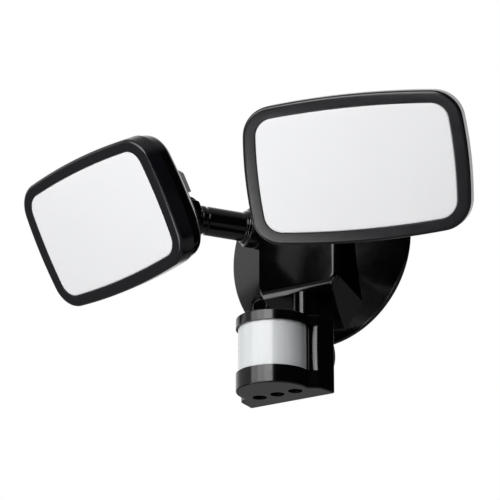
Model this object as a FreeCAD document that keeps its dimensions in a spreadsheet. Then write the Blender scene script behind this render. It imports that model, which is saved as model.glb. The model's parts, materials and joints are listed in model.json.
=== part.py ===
import FreeCAD, Part
import math
import os
import re

import Sketcher

# Motion sensor security light: two lamp heads on arms, a round base and a hanging sensor.
# The wall is the plane y = 0, the light points towards -Y, Z is up and the origin is the
# centre of the base's back face.

os.makedirs("parts", exist_ok=True)
doc = FreeCAD.newDocument("security_light")
V = FreeCAD.Vector

# Driving dimensions, all in millimetres or degrees.
SIZES = {
    # Round base
    "disc_radius": 63.6,
    "disc_back_radius": 60.5,
    "disc_rim_back": 4.2,
    "disc_rim_front": 6.2,
    "disc_depth": 16.0,
    "disc_flat_radius": 28.0,
    "disc_edge_round": 1.5,
    "wall": 2.5,
    "seat_gap": 0.1,
    "pad_thick": 1.5,
    "plate_radius": 57.4,
    "plate_thick": 2.4,
    "cable_hole_radius": 8.0,
    "cable_drop": 11.0,
    "slot_reach": 40.0,
    "slot_length": 9.0,
    "slot_radius": 2.6,
    # Turret on the base
    "turret_front": 32.3,
    "turret_half_width": 27.5,
    "turret_foot_half_width": 32.5,
    "turret_top": 34.0,
    "turret_foot_top": 38.0,
    "turret_bottom": 33.5,
    "turret_corner_drop": 3.0,
    "turret_corner_in": 3.0,
    "turret_foot_side_bottom": 43.0,
    "turret_foot_bottom": 57.5,
    "turret_foot_in": 19.0,
    "turret_round": 3.0,
    # Cover screws and their plugs
    "screw_reach": 52.0,
    "recess_radius": 7.4,
    "recess_floor": 8.2,
    "plug_radius": 5.6,
    "plug_thick": 2.2,
    "plug_front": 9.6,
    "screw_floor": 5.4,
    "screw_head_radius": 3.4,
    "screw_head_high": 1.8,
    "screw_shank_radius": 1.75,
    "screw_slot": 0.8,
    "screw_slot_long": 4.0,
    "screw_slot_deep": 0.8,
    "post_radius": 8.4,
    "plug_dish_in": 1.3,
    "plug_dish_deep": 0.8,
    # Cable gland, driver and terminals inside the base
    "gland_lip": 1.4,
    "gland_lip_thick": 1.6,
    "gland_long": 5.0,
    "gland_bore_radius": 3.6,
    "driver_width": 44.0,
    "driver_height": 30.0,
    "driver_low": 3.5,
    "driver_front": 9.0,
    "driver_foot_radius": 2.4,
    "driver_foot_in": 3.0,
    "capacitor_radius": 5.0,
    "capacitor_long": 12.0,
    "capacitor_x": 12.0,
    "capacitor_z": 24.0,
    "terminal_width": 30.0,
    "terminal_depth": 10.5,
    "terminal_height": 11.0,
    "terminal_low": 33.0,
    "terminal_pitch": 10.0,
    "terminal_well_radius": 2.6,
    "terminal_well_deep": 2.5,
    "terminal_way_front": 6.0,
    "terminal_way_radius": 2.0,
    "terminal_way_long": 13.0,
    "terminal_screw_radius": 2.3,
    "terminal_screw_long": 2.0,
    # Arm and its socket
    "arm_radius": 9.0,
    "arm_bore_radius": 5.0,
    "arm_end_gap": 14.5,
    "arm_neck_radius": 6.0,
    "groove_depth": 0.9,
    "groove_near": 17.5,
    "groove_far": 19.3,
    "eye_radius": 9.0,
    "eye_half_width": 10.0,
    "pin_radius": 3.0,
    "socket_radius": 12.5,
    "socket_start": -9.0,
    "bore_start": -3.0,
    "socket_end": 5.0,
    "flange_radius": 11.0,
    "flange_thick": 2.5,
    "ring_start": 5.2,
    "ring_end": 11.6,
    "ring_radius": 12.2,
    "ring_lip_radius": 10.2,
    "ring_lip_end": 14.0,
    "running_gap": 0.3,
    "fit_gap": 0.05,
    "seal_start": 0.5,
    "seal_end": 2.7,
    "seal_depth": 1.3,
    # Lamp head, in the head's own frame with its origin on the tilt pin
    "face_reach": 59.0,
    "face_rise": 11.0,
    "head_width": 131.0,
    "head_height": 85.0,
    "head_corner": 18.0,
    "head_bulge_long": 2.3,
    "head_bulge_short": 1.3,
    "rim_width": 2.2,
    "rim_step": 0.6,
    "bezel_depth": 10.0,
    "bezel_face": 2.6,
    "bezel_wall": 2.6,
    "border_side": 7.9,
    "border_top": 7.3,
    "glow_corner": 11.0,
    "glow_bulge_long": 1.95,
    "glow_bulge_short": 1.05,
    "glow_gap": 0.15,
    "glow_flange": 2.2,
    "glow_thick": 2.0,
    "glow_inset": 0.9,
    "head_seal": 1.0,
    "head_seal_in": 1.1,
    "shell_depth": 25.0,
    "shell_in": 0.3,
    "shell_back_in": 9.0,
    "shell_wall": 2.4,
    "shell_shoulder": 7.0,
    "pod_wall": 3.0,
    "pod_round": 2.5,
    "board_width": 96.0,
    "board_height": 56.0,
    "board_thick": 1.6,
    "board_depth": 15.0,
    "chip_width": 3.5,
    "chip_height": 2.8,
    "chip_thick": 0.8,
    "chip_columns": 7,
    "chip_rows": 4,
    "chip_pitch_x": 13.0,
    "chip_pitch_z": 13.5,
    "board_screw_x": 44.0,
    "board_screw_z": 24.0,
    "board_post_radius": 3.6,
    "small_head_radius": 2.6,
    "small_head_high": 1.4,
    "small_shank_radius": 1.2,
    "pod_foot_half_width": 46.0,
    "pod_foot_low": -15.0,
    "pod_foot_high": 35.5,
    "pod_half_width": 28.6,
    "pod_low": -12.0,
    "pod_high": 22.6,
    "pod_back": 5.0,
    "pod_floor": 11.5,
    "pod_shoulder": 9.4,
    "pod_room_half_width": 33.5,
    "pod_room_high": 26.0,
    "cheek_in": 10.3,
    "cheek_thick": 4.8,
    "cheek_radius": 8.6,
    "bolt_head_radius": 5.6,
    "bolt_head_long": 5.0,
    "bolt_flat_radius": 4.9,
    "nut_long": 3.6,
    "nut_radius": 5.4,
    # Stem and sensor
    "stem_set_out": 24.0,
    "stem_radius": 7.5,
    "stem_neck_radius": 3.6,
    "stem_top": 34.8,
    "neck_top": 18.5,
    "guide_radius": 9.6,
    "guide_top": 24.0,
    "clip_radius": 5.6,
    "clip_thick": 2.0,
    "clip_mouth": 3.6,
    "stem_bore_radius": 1.6,
    "tilt_pin_drop": 80.0,
    "knuckle_radius": 8.5,
    "knuckle_half_width": 7.0,
    "lug_thick": 4.0,
    "lug_gap": 0.3,
    "sensor_round_set_out": 59.4,
    "sensor_radius": 22.2,
    "sensor_top": 60.4,
    "sensor_bottom": 105.6,
    "sensor_back": 38.0,
    "flare_start": 58.2,
    "flare_end": 50.5,
    "ear_front": 52.6,
    "ear_front_half": 28.3,
    "ear_back_half": 29.6,
    "ear_round": 5.3,
    "window_end": 54.8,
    "sensor_edge_round": 1.2,
    "rear_cover_thick": 3.0,
    "boss_radius": 3.6,
    "boss_long": 6.0,
    "hump_radius": 15.0,
    "hump_high": 2.6,
    "lens_top": 66.7,
    "lens_bottom": 94.6,
    "lens_inset": 1.2,
    "lens_thick": 1.2,
    "lens_lip": 1.2,
    "lens_end": 51.5,
    "sensor_wall": 2.2,
    "dial_pitch": 12.5,
    "dial_set_out": 55.0,
    "dial_hole_radius": 4.2,
    "dial_radius": 3.0,
    "dial_long": 5.0,
    "dial_slot": 0.9,
    "dial_skirt": 0.8,
    "dial_skirt_thick": 1.4,
    "dial_slot_deep": 0.7,
    "dial_sunk": 0.9,
    "control_size": 9.0,
    "control_thick": 4.0,
    "control_rise": 6.2,
    "sensor_board_set_out": 47.0,
    "sensor_board_size": 36.0,
    "sensor_board_low": 101.0,
    "sensor_post_radius": 2.2,
    "sensor_post_x": 14.0,
    "sensor_post_top": 69.0,
    "sensor_post_bottom": 97.0,
    "eye_can_radius": 4.6,
    "eye_can_long": 4.0,
    "eye_drop": 81.0,
    "eye_window_width": 4.0,
    "eye_window_height": 3.0,
    "eye_window_deep": 0.5,
    "tilt_pin_head_radius": 5.0,
    "tilt_pin_head_long": 2.2,
    "tilt_pin_rivet_radius": 4.4,
    "tilt_pin_rivet_long": 1.6,
}

# The photographed pose: the two heads and the sensor, each with its own small slack.
HEAD_YAW = {"left": -19.6, "right": 17.6}
HEAD_PITCH = {"left": 28.9, "right": 25.9}
HEAD_PIVOT = {"left": V(-70.1, -60.6, 18.4), "right": V(71.7, -59.1, 15.4)}
ARM_ROOT = {"left": V(-34.5, -16.0, 15.5), "right": V(34.5, -16.0, 15.0)}
SENSOR_PAN = -1.0
SIDES = ("left", "right")
SCREW_ANGLES = (37.0, 217.0)
SCREW_SPOTS = [tuple(f"{turn(math.radians(angle)):.6f} * screw_reach" for turn in (math.cos, math.sin))
               for angle in SCREW_ANGLES]
# Blocks on the driver board: width, depth and height, then where the left and the low side are.
DRIVER_BLOCKS = {
    "transformer": ((15.0, 12.0, 13.0), (-8.0, 6.0)),
    "relay": ((9.0, 10.0, 13.0), (8.2, 5.0)),
    "filter_choke": ((8.0, 8.0, 10.0), (-19.0, 20.0)),
}
FLARE_STEPS = 6
SENSOR_SCREWS = [(f"{side}_{end}", f"{sign} * (ear_back_half - 7)", z)
                 for side, sign in (("left", -1), ("right", 1))
                 for end, z in (("top", "-sensor_top - 5"), ("bottom", "-sensor_bottom + 5"))]

sheet = doc.addObject("Spreadsheet::Sheet", "sizes")
for row, (alias, number) in enumerate(SIZES.items(), start=1):
    sheet.set(f"A{row}", alias)
    sheet.set(f"B{row}", str(number))
    sheet.setAlias(f"B{row}", alias)
doc.recompute()


def size(name):
    return SIZES[name]


def linked(text):
    """Turns the names of sizes in an expression into references to the sheet."""
    return re.sub(r"[a-z][a-z_]+",
                  lambda word: ("sizes." if word.group(0) in SIZES else "") + word.group(0), text)


def bind(item, prop, text):
    if isinstance(text, str):
        item.setExpression(prop, linked(text))
        return
    *path, last = prop.split(".")
    if path:
        place = item.Placement
        setattr(place.Base, last, float(text))
        item.Placement = place
    else:
        setattr(item, last, float(text))


def put(item, at, turn=None):
    """Places an item: a rotation, then a base point whose coordinates may be expressions."""
    item.Placement = FreeCAD.Placement(V(0, 0, 0), turn or FreeCAD.Rotation())
    for letter, text in zip("xyz", at):
        bind(item, "Placement.Base." + letter, text)
    return item


ALONG_X = FreeCAD.Rotation(V(0, 1, 0), 90)
ALONG_Y = FreeCAD.Rotation(V(1, 0, 0), -90)
FACING = FreeCAD.Rotation(V(1, 0, 0), 90)


def rod(name, radius, length, at, turn=None):
    item = doc.addObject("Part::Cylinder", name)
    bind(item, "Radius", radius)
    bind(item, "Height", length)
    return put(item, at, turn)


def taper(name, wide, narrow, length, at, turn=None):
    item = doc.addObject("Part::Cone", name)
    bind(item, "Radius1", wide)
    bind(item, "Radius2", narrow)
    bind(item, "Height", length)
    return put(item, at, turn)


def block(name, lengths, at, turn=None):
    item = doc.addObject("Part::Box", name)
    for prop, text in zip(("Length", "Width", "Height"), lengths):
        bind(item, prop, text)
    return put(item, at, turn)


def fuse(name, shapes):
    item = doc.addObject("Part::MultiFuse", name)
    item.Shapes = shapes
    return item


def gather(name, shapes):
    item = doc.addObject("Part::Compound", name)
    item.Links = shapes
    return item


def cut(name, base, tools):
    tools = tools if isinstance(tools, list) else [tools]
    tool = tools[0] if len(tools) == 1 else fuse(name + "_tools", tools)
    item = doc.addObject("Part::Cut", name)
    item.Base = base
    item.Tool = tool
    return item


def overlap(name, first, second):
    item = doc.addObject("Part::Common", name)
    item.Base = first
    item.Tool = second
    return item


def smooth(name, base, radius, wanted):
    """Rounds the edges of a finished shape that the test picks."""
    doc.recompute()
    item = doc.addObject("Part::Fillet", name)
    item.Base = base
    chosen = [i + 1 for i, edge in enumerate(base.Shape.Edges) if wanted(edge)]
    item.Edges = [(i, radius, radius) for i in chosen]
    doc.recompute()
    if item.Shape.isNull() or not item.Shape.isValid():
        raise RuntimeError("rounding failed on " + name)
    return item


def pull(name, sketch, length, direction, backwards=False):
    """Extrudes a sketch along a direction."""
    item = doc.addObject("Part::Extrusion", name)
    item.Base = sketch
    item.DirMode = "Custom"
    item.Dir = direction
    item.Solid = True
    item.Reversed = backwards
    bind(item, "LengthFwd", length)
    return item


def loft(name, sketches):
    item = doc.addObject("Part::Loft", name)
    item.Sections = sketches
    item.Solid = True
    item.Ruled = True
    return item


def pillow(name, width, height, corner, bulge_long, bulge_short, at, turn=FACING):
    """Sketch of a rectangle with slightly bowed sides and round corners."""
    half_w, half_h, r, bow_l, bow_s = (evaluate(t) for t in (width, height, corner, bulge_long, bulge_short))
    half_w, half_h = half_w / 2, half_h / 2
    span_l, span_s = half_w - r, half_h - r
    big_l = (span_l ** 2 + bow_l ** 2) / (2 * bow_l)
    big_s = (span_s ** 2 + bow_s ** 2) / (2 * bow_s)
    sketch = doc.addObject("Sketcher::SketchObject", name)
    put(sketch, at, turn)

    def meet(sign_x, sign_y):
        # Centre of the corner arc that touches a long side and a short side from inside.
        cx, cy = span_l * 0.99, span_s * 0.99
        for _ in range(60):
            fx = math.hypot(cx, cy + big_l - half_h) - (big_l - r)
            fy = math.hypot(cx + big_s - half_w, cy) - (big_s - r)
            cy -= fx
            cx -= fy
        return sign_x * cx, sign_y * cy

    corners = {(sx, sy): meet(sx, sy) for sx in (1, -1) for sy in (1, -1)}
    centres = {"top": (0, half_h - big_l), "bottom": (0, big_l - half_h),
               "right": (half_w - big_s, 0), "left": (big_s - half_w, 0)}
    radii = {"top": big_l, "bottom": big_l, "right": big_s, "left": big_s}

    def heading(a, b):
        return math.atan2(b[1] - a[1], b[0] - a[0])

    order = [("right", (1, -1), (1, 1)), ("top", (1, 1), (-1, 1)),
             ("left", (-1, 1), (-1, -1)), ("bottom", (-1, -1), (1, -1))]
    for side, first, last in order:
        centre = centres[side]
        begin = heading(centre, corners[first])
        end = heading(centre, corners[last])
        arc = Part.ArcOfCircle(Part.Circle(V(*centre, 0), V(0, 0, 1), radii[side]), begin, end)
        sketch.addGeometry(arc, False)
        following = order[(order.index((side, first, last)) + 1) % 4][0]
        corner_at = corners[last]
        begin = heading(centres[side], corner_at)
        end = heading(centres[following], corner_at)
        arc = Part.ArcOfCircle(Part.Circle(V(*corner_at, 0), V(0, 0, 1), r), begin, end)
        sketch.addGeometry(arc, False)
    for i in range(8):
        sketch.addConstraint(Sketcher.Constraint("Tangent", i, 2, (i + 1) % 8, 1))
    span_long = f"(({width}) / 2 - ({corner}))"
    span_short = f"(({height}) / 2 - ({corner}))"
    long_radius = f"(({span_long} ^ 2 + ({bulge_long}) ^ 2) / (2 * ({bulge_long})))"
    short_radius = f"(({span_short} ^ 2 + ({bulge_short}) ^ 2) / (2 * ({bulge_short})))"
    for i in range(1, 8, 2):
        k = sketch.addConstraint(Sketcher.Constraint("Radius", i, r))
        sketch.setExpression(f"Constraints[{k}]", linked(corner))
    for i, axis, radius_text, half_text in ((0, "X", short_radius, width), (2, "Y", long_radius, height),
                                            (4, "X", short_radius, width), (6, "Y", long_radius, height)):
        value = big_s if axis == "X" else big_l
        k = sketch.addConstraint(Sketcher.Constraint("Radius", i, value))
        sketch.setExpression(f"Constraints[{k}]", linked(radius_text))
        line = -1 if axis == "X" else -2
        sketch.addConstraint(Sketcher.Constraint("PointOnObject", i, 3, line))
        centre = sketch.Geometry[i].Center
        reach = centre.x if axis == "X" else centre.y
        kind = "DistanceX" if axis == "X" else "DistanceY"
        ends = (-1, 1, i, 3) if reach > 0 else (i, 3, -1, 1)
        k = sketch.addConstraint(Sketcher.Constraint(kind, *ends, abs(reach)))
        sketch.setExpression(f"Constraints[{k}]", linked(f"{radius_text} - ({half_text}) / 2"))
    doc.recompute()
    return sketch


def evaluate(text):
    """The number that an expression of sizes stands for."""
    if not isinstance(text, str):
        return float(text)
    item = doc.getObject("scratch_value") or doc.addObject("App::FeaturePython", "scratch_value")
    if "Value" not in item.PropertiesList:
        item.addProperty("App::PropertyFloat", "Value")
    item.setExpression("Value", linked(text))
    item.recompute()
    return float(item.Value)


def outline(name, points, at=(0, 0, 0), turn=None):
    """Closed sketch through points given as pairs of expressions; every point is held by its sizes."""
    sketch = doc.addObject("Sketcher::SketchObject", name)
    put(sketch, at, turn)
    spots = [(evaluate(x), evaluate(y)) for x, y in points]
    count = len(spots)
    for i in range(count):
        a, b = spots[i], spots[(i + 1) % count]
        sketch.addGeometry(Part.LineSegment(V(*a, 0), V(*b, 0)), False)
    for i in range(count):
        sketch.addConstraint(Sketcher.Constraint("Coincident", i, 2, (i + 1) % count, 1))
    for i, ((x, y), (tx, ty)) in enumerate(zip(spots, points)):
        for kind, number, text, line in (("DistanceX", x, tx, -2), ("DistanceY", y, ty, -1)):
            if abs(number) < 1e-9:
                sketch.addConstraint(Sketcher.Constraint("PointOnObject", i, 1, line))
                continue
            ends = (-1, 1, i, 1) if number > 0 else (i, 1, -1, 1)
            k = sketch.addConstraint(Sketcher.Constraint(kind, *ends, abs(number)))
            if isinstance(text, str):
                sign = "" if number > 0 else "-"
                sketch.setExpression(f"Constraints[{k}]", linked(f"{sign}({text})"))
    doc.recompute()
    return sketch


finished = []


def finish(item, label, place=None):
    """Names a finished piece, moves it to its place and keeps it for the export."""
    item.Label = label
    if place is not None:
        item.Placement = place.multiply(item.Placement)
    finished.append(item)
    return item


def toward(direction):
    return FreeCAD.Rotation(V(0, 0, 1), direction)


def along(side, name, radius, start, stop):
    """Rod on an arm's line, between two distances from the arm's root."""
    line = (HEAD_PIVOT[side] - ARM_ROOT[side]).normalize()
    return rod(f"{side}_{name}", radius, stop - start, tuple(ARM_ROOT[side] + line * start), toward(line))


# Round base

def wall_pad():
    outer = rod("pad_outer", "disc_back_radius - 0.4", "pad_thick - seat_gap",
                (0, "-seat_gap / 2", 0), FACING)
    inner = rod("pad_inner", "plate_radius + running_gap", "pad_thick + 2", (0, 1, 0), FACING)
    finish(cut("pad", outer, inner), "wall_pad")


def wall_plate():
    """Steel plate with a cable hole, two slots for the wall screws and two taps for the cover screws."""
    plate = rod("plate_disc", "plate_radius", "plate_thick", (0, 0, 0), FACING)
    through = "plate_thick + 6"
    tools = [rod("plate_cable_hole", "cable_hole_radius", through, (0, 3, "-cable_drop"), FACING)]
    for side, place in ((-1, "left"), (1, "right")):
        for step, end in ((-0.5, "near"), (0.5, "far")):
            tools.append(rod(f"slot_{place}_{end}", "slot_radius", through,
                             (f"{side} * slot_reach + {step} * slot_length", 3, 0), FACING))
        tools.append(block(f"slot_{place}_middle", ("slot_length", through, "2 * slot_radius"),
                           (f"{side} * slot_reach - slot_length / 2", "-plate_thick - 3", "-slot_radius")))
    for k, (x, z) in enumerate(SCREW_SPOTS):
        tools.append(rod(f"plate_tap_{k}", "screw_shank_radius + fit_gap", through, (x, 3, z), FACING))
    finish(cut("plate", plate, tools), "wall_plate")


def turret_sections(name, inset):
    """Foot and front outlines of the turret, shrunk by an inset for the hollow."""
    foot = [("-(turret_foot_half_width - {i})", "turret_foot_top - {i}"),
            ("turret_foot_half_width - {i}", "turret_foot_top - {i}"),
            ("turret_foot_half_width - {i}", "-(turret_foot_side_bottom - {i})"),
            ("turret_foot_in - {i} / 2", "-(turret_foot_bottom - {i} * 1.3)"),
            ("-(turret_foot_in - {i} / 2)", "-(turret_foot_bottom - {i} * 1.3)"),
            ("-(turret_foot_half_width - {i})", "-(turret_foot_side_bottom - {i})")]
    front = [("-(turret_half_width - {i})", "turret_top - {i}"),
             ("turret_half_width - {i}", "turret_top - {i}"),
             ("turret_half_width - {i}", "-(turret_bottom - turret_corner_drop - {i})"),
             ("turret_half_width - turret_corner_in - {i}", "-(turret_bottom - {i})"),
             ("-(turret_half_width - turret_corner_in - {i})", "-(turret_bottom - {i})"),
             ("-(turret_half_width - {i})", "-(turret_bottom - turret_corner_drop - {i})")]
    foot, front = [[(x.format(i=inset), y.format(i=inset)) for x, y in pairs] for pairs in (foot, front)]
    depth = "wall" if inset != "0" else "0"
    back = "-disc_rim_front" if inset == "0" else "-plate_thick - 2"
    low = outline(name + "_foot", foot, (0, back, 0), FACING)
    high = outline(name + "_front", front, (0, f"-turret_front + {depth}", 0), FACING)
    return low, high


def dome(name):
    """Round base that widens from the wall to its rim and then rises in a flat cone."""
    low = taper(name + "_low", "disc_back_radius", "disc_radius", "disc_rim_back - pad_thick",
                (0, "-pad_thick", 0), FACING)
    rim = rod(name + "_rim", "disc_radius", "disc_rim_front - disc_rim_back",
              (0, "-disc_rim_back", 0), FACING)
    top = taper(name + "_top", "disc_radius", "disc_flat_radius", "disc_depth - disc_rim_front",
                (0, "-disc_rim_front", 0), FACING)
    return fuse(name, [low, rim, top])


def cover_outside():
    """Domed base, turret and the two sockets of the arms, as one solid block."""
    whole = dome("cover_disc")
    doc.recompute()
    front = -size("disc_rim_front")
    rim = smooth("cover_disc_round", whole, size("disc_edge_round"),
                 lambda e: abs(e.BoundBox.YMin - front) < 0.01 and e.BoundBox.YLength < 0.01)
    turret = loft("turret", list(turret_sections("turret_out", "0")))
    doc.recompute()
    front = -size("turret_front")
    turret = smooth("turret_round", turret, size("turret_round"),
                    lambda e: e.BoundBox.YMin < front + 0.01)
    sockets = [along(side, "socket", "socket_radius", size("socket_start"), size("socket_end"))
               for side in SIDES]
    return fuse("cover_outside", [rim, turret] + sockets)


def cover_inside():
    """Posts for the cover screws, the stem's guide and the inner ends of the sockets."""
    posts = [rod(f"cover_post_{k}", "post_radius", "disc_depth", (x, "-plate_thick - seat_gap", z), FACING)
             for k, (x, z) in enumerate(SCREW_SPOTS)]
    pieces = [overlap("posts_within", fuse("cover_posts", posts), dome("disc_again"))]
    within = loft("turret_again", list(turret_sections("turret_more", "0.001")))
    guide = rod("guide_rod", "guide_radius", "60 - guide_top", (0, "-stem_set_out", -60))
    pieces.append(overlap("guide", guide, within))
    sleeves = [along(side, "sleeve", "socket_radius", size("socket_start"), size("socket_end") - 1)
               for side in SIDES]
    in_front = block("in_front_of_plate", (200, 60, 200),
                     (-100, "-60 - plate_thick - seat_gap - 1", -100))
    return pieces + [overlap("sleeves_within", fuse("sleeves", sleeves), in_front)]


def cover_holes():
    """Recesses and holes of the screws, the stem's pocket and the bores of the arms."""
    tools = []
    for k, (x, z) in enumerate(SCREW_SPOTS):
        tools.append(rod(f"recess_{k}", "recess_radius", 5, (x, "-recess_floor", z), FACING))
        tools.append(rod(f"plug_seat_{k}", "plug_radius + seat_gap", 9, (x, "-screw_floor", z), FACING))
        tools.append(rod(f"shank_hole_{k}", "screw_shank_radius + 0.25", 12, (x, 1, z), FACING))
    tools.append(rod("stem_pocket", "stem_radius + running_gap", 50, (0, "-stem_set_out", "-stem_top - 50")))
    tools.append(rod("neck_bore", "stem_neck_radius + fit_gap", 60, (0, "-stem_set_out", -60)))
    tools.append(rod("clip_room", "clip_radius + running_gap", 9, (0, "-stem_set_out", "-guide_top")))
    for side in SIDES:
        ring, bore = size("ring_start") - 0.1, size("bore_start")
        tools.append(along(side, "arm_bore", "arm_radius + fit_gap", -30, 20))
        tools.append(along(side, "ring_room", "ring_radius + running_gap", ring, ring + 12))
        tools.append(along(side, "flange_room", "flange_radius + running_gap", bore - 14, bore))
    return tools


def base_cover():
    slope = "(disc_depth - disc_rim_front) / (disc_radius - disc_flat_radius)"
    depth = f"(disc_rim_front - wall + (disc_radius - disc_back_radius + wall) * {slope})"
    hollow_low = rod("cover_hollow_low", "disc_back_radius - wall", f"{depth} + 2", (0, 2, 0), FACING)
    hollow_top = taper("cover_hollow_top", "disc_back_radius - wall", "disc_flat_radius",
                       f"disc_depth - wall - {depth}", (0, f"-{depth}", 0), FACING)
    hollow_turret = loft("turret_hollow", list(turret_sections("turret_in", "wall")))
    shell = cut("cover_shell", cover_outside(), [hollow_low, hollow_top, hollow_turret])
    body = fuse("cover_body", [shell] + cover_inside())
    finish(cut("cover", body, cover_holes()), "base_cover")


def cover_screw(k, x, z):
    """Cross-head screw under a plug."""
    head = rod(f"screw_head_{k}", "screw_head_radius", "screw_head_high",
               (x, "-screw_floor - seat_gap / 2", z), FACING)
    shank = rod(f"screw_shank_{k}", "screw_shank_radius", "screw_floor", (x, "-running_gap", z), FACING)
    front = "-screw_floor - screw_head_high - 3 + screw_slot_deep"
    slots = []
    for name, wide, high in (("a", "screw_slot", "screw_slot_long"), ("b", "screw_slot_long", "screw_slot")):
        slots.append(block(f"screw_slot_{name}_{k}", (wide, 3, high),
                           (f"{x} - {wide} / 2", front, f"{z} - {high} / 2")))
    return cut(f"screw_{k}", fuse(f"screw_blank_{k}", [head, shank]), slots)


def screw_plug(k, x, z):
    """Round plug with a dish in its front, sunk a little into its recess."""
    cap = rod(f"plug_cap_{k}", "plug_radius", "plug_thick",
              (x, "-plug_front + plug_thick", z), FACING)
    dish = rod(f"plug_dish_{k}", "plug_radius - plug_dish_in", 2,
               (x, "-plug_front + plug_dish_deep", z), FACING)
    return cut(f"plug_{k}", cap, dish)


def cover_screws_and_plugs():
    spots = list(enumerate(SCREW_SPOTS))
    finish(gather("screws", [cover_screw(k, x, z) for k, (x, z) in spots]), "cover_screws")
    finish(gather("plugs", [screw_plug(k, x, z) for k, (x, z) in spots]), "screw_plugs")


def cable_gland():
    ring = rod("gland_body", "cable_hole_radius - seat_gap", "gland_long", (0, -0.2, "-cable_drop"), FACING)
    lip = rod("gland_lip_ring", "cable_hole_radius + gland_lip", "gland_lip_thick",
              (0, "-plate_thick - seat_gap", "-cable_drop"), FACING)
    hole = rod("gland_hole", "gland_bore_radius", "gland_long + 7", (0, 2, "-cable_drop"), FACING)
    finish(cut("gland", fuse("gland_blank", [ring, lip]), hole), "cable_gland")


def driver():
    """Circuit board that feeds the lamps, its parts and the four feet it stands on."""
    board = block("driver_plate", ("driver_width", "board_thick", "driver_height"),
                  ("-driver_width / 2", "-driver_front", "driver_low"))
    finish(board, "driver_board")
    parts = [rod("capacitor", "capacitor_radius", "capacitor_long",
                 ("capacitor_x", "-driver_front - seat_gap", "capacitor_z"), FACING)]
    for name, (lengths, (left, low)) in DRIVER_BLOCKS.items():
        parts.append(block(name, lengths, (left, f"-driver_front - seat_gap - {lengths[1]}", low)))
    finish(gather("driver_pieces", parts), "driver_components")
    feet = []
    for x in (-1, 1):
        for end, z in (("low", "driver_low + driver_foot_in"),
                       ("high", "driver_low + driver_height - driver_foot_in")):
            spot = (f"{x} * (driver_width / 2 - driver_foot_in)", "-plate_thick - seat_gap", z)
            feet.append(rod(f"driver_foot_{x}_{end}", "driver_foot_radius",
                            "driver_front - board_thick - plate_thick - 2 * seat_gap", spot, FACING))
    finish(gather("driver_feet_all", feet), "driver_standoffs")


def terminal_block():
    front = "-plate_thick - 2 * seat_gap - terminal_depth"
    middle = "-terminal_low + terminal_height / 2"
    body = block("terminal_body", ("terminal_width", "terminal_depth", "terminal_height"),
                 ("-terminal_width / 2", front, "-terminal_low"))
    wells, heads = [], []
    for k in (-1, 0, 1):
        x = f"{k} * terminal_pitch"
        wells.append(rod(f"terminal_well_{k}", "terminal_well_radius", "terminal_well_deep + 1",
                         (x, f"{front} + terminal_well_deep", middle), FACING))
        wells.append(rod(f"terminal_way_{k}", "terminal_way_radius", "terminal_way_long",
                         (x, "-terminal_way_front", "-terminal_low - 1")))
        heads.append(rod(f"terminal_screw_{k}", "terminal_screw_radius", "terminal_screw_long",
                         (x, f"{front} + terminal_well_deep - seat_gap", middle), FACING))
    finish(cut("terminal", body, wells), "terminal_block")
    finish(gather("terminal_screws_all", heads), "terminal_screws")


# Arm, lock ring and seal

def arm(side):
    """Hollow arm with a flange inside the base, grooves and the eye that the tilt bolt passes through."""
    root, pivot = ARM_ROOT[side], HEAD_PIVOT[side]
    reach = (pivot - root).Length
    across = FreeCAD.Rotation(V(0, 0, 1), HEAD_YAW[side]).multVec(V(1, 0, 0))
    tube_end = reach - size("arm_end_gap")
    flange_end = size("bore_start") - 0.2
    flange_start = flange_end - size("flange_thick")
    eye = rod(side + "_eye", "eye_radius", "2 * eye_half_width",
              tuple(pivot - across * size("eye_half_width")), toward(across))
    blank = fuse(side + "_arm_blank", [
        along(side, "tube", "arm_radius", flange_start, tube_end),
        along(side, "flange", "flange_radius", flange_start, flange_end),
        along(side, "neck", "arm_neck_radius", tube_end - 1, reach),
        eye])
    far, near = reach - size("groove_far"), reach - size("groove_near")
    groove = cut(side + "_groove", along(side, "groove_out", "arm_radius + 1", far, near),
                 along(side, "groove_in", "arm_radius - groove_depth", reach - 30, reach))
    seal_seat = cut(side + "_seal_seat",
                    along(side, "seat_out", "arm_radius + 1", size("seal_start"), size("seal_end")),
                    along(side, "seat_in", "arm_radius - seal_depth", -5, 8))
    bore = along(side, "bore", "arm_bore_radius", flange_start - 1, tube_end - 4)
    hole = rod(side + "_pin_hole", "pin_radius + fit_gap", 40, tuple(pivot - across * 20), toward(across))
    finish(cut(side + "_arm_cut", blank, [groove, seal_seat, bore, hole]), side + "_arm")


def lock_ring(side):
    """Ring that clamps the arm in its socket."""
    ring = along(side, "ring_body", "ring_radius", size("ring_start"), size("ring_end"))
    lip = along(side, "ring_lip", "ring_lip_radius", size("ring_end") - 0.5, size("ring_lip_end"))
    bore = along(side, "ring_bore", "arm_radius + fit_gap", 0, 20)
    finish(cut(side + "_ring_cut", fuse(side + "_ring_blank", [ring, lip]), bore), side + "_lock_ring")


def arm_seal(side):
    gap = size("seat_gap")
    outer = along(side, "seal_out", "arm_radius - fit_gap", size("seal_start") + gap, size("seal_end") - gap)
    inner = along(side, "seal_in", "arm_radius - seal_depth + fit_gap", -5, 8)
    finish(cut(side + "_seal_cut", outer, inner), side + "_arm_seal")


# Lamp head

def head_place(side):
    yaw = FreeCAD.Rotation(V(0, 0, 1), HEAD_YAW[side])
    pitch = FreeCAD.Rotation(V(1, 0, 0), HEAD_PITCH[side])
    return FreeCAD.Placement(HEAD_PIVOT[side], yaw.multiply(pitch))


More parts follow.
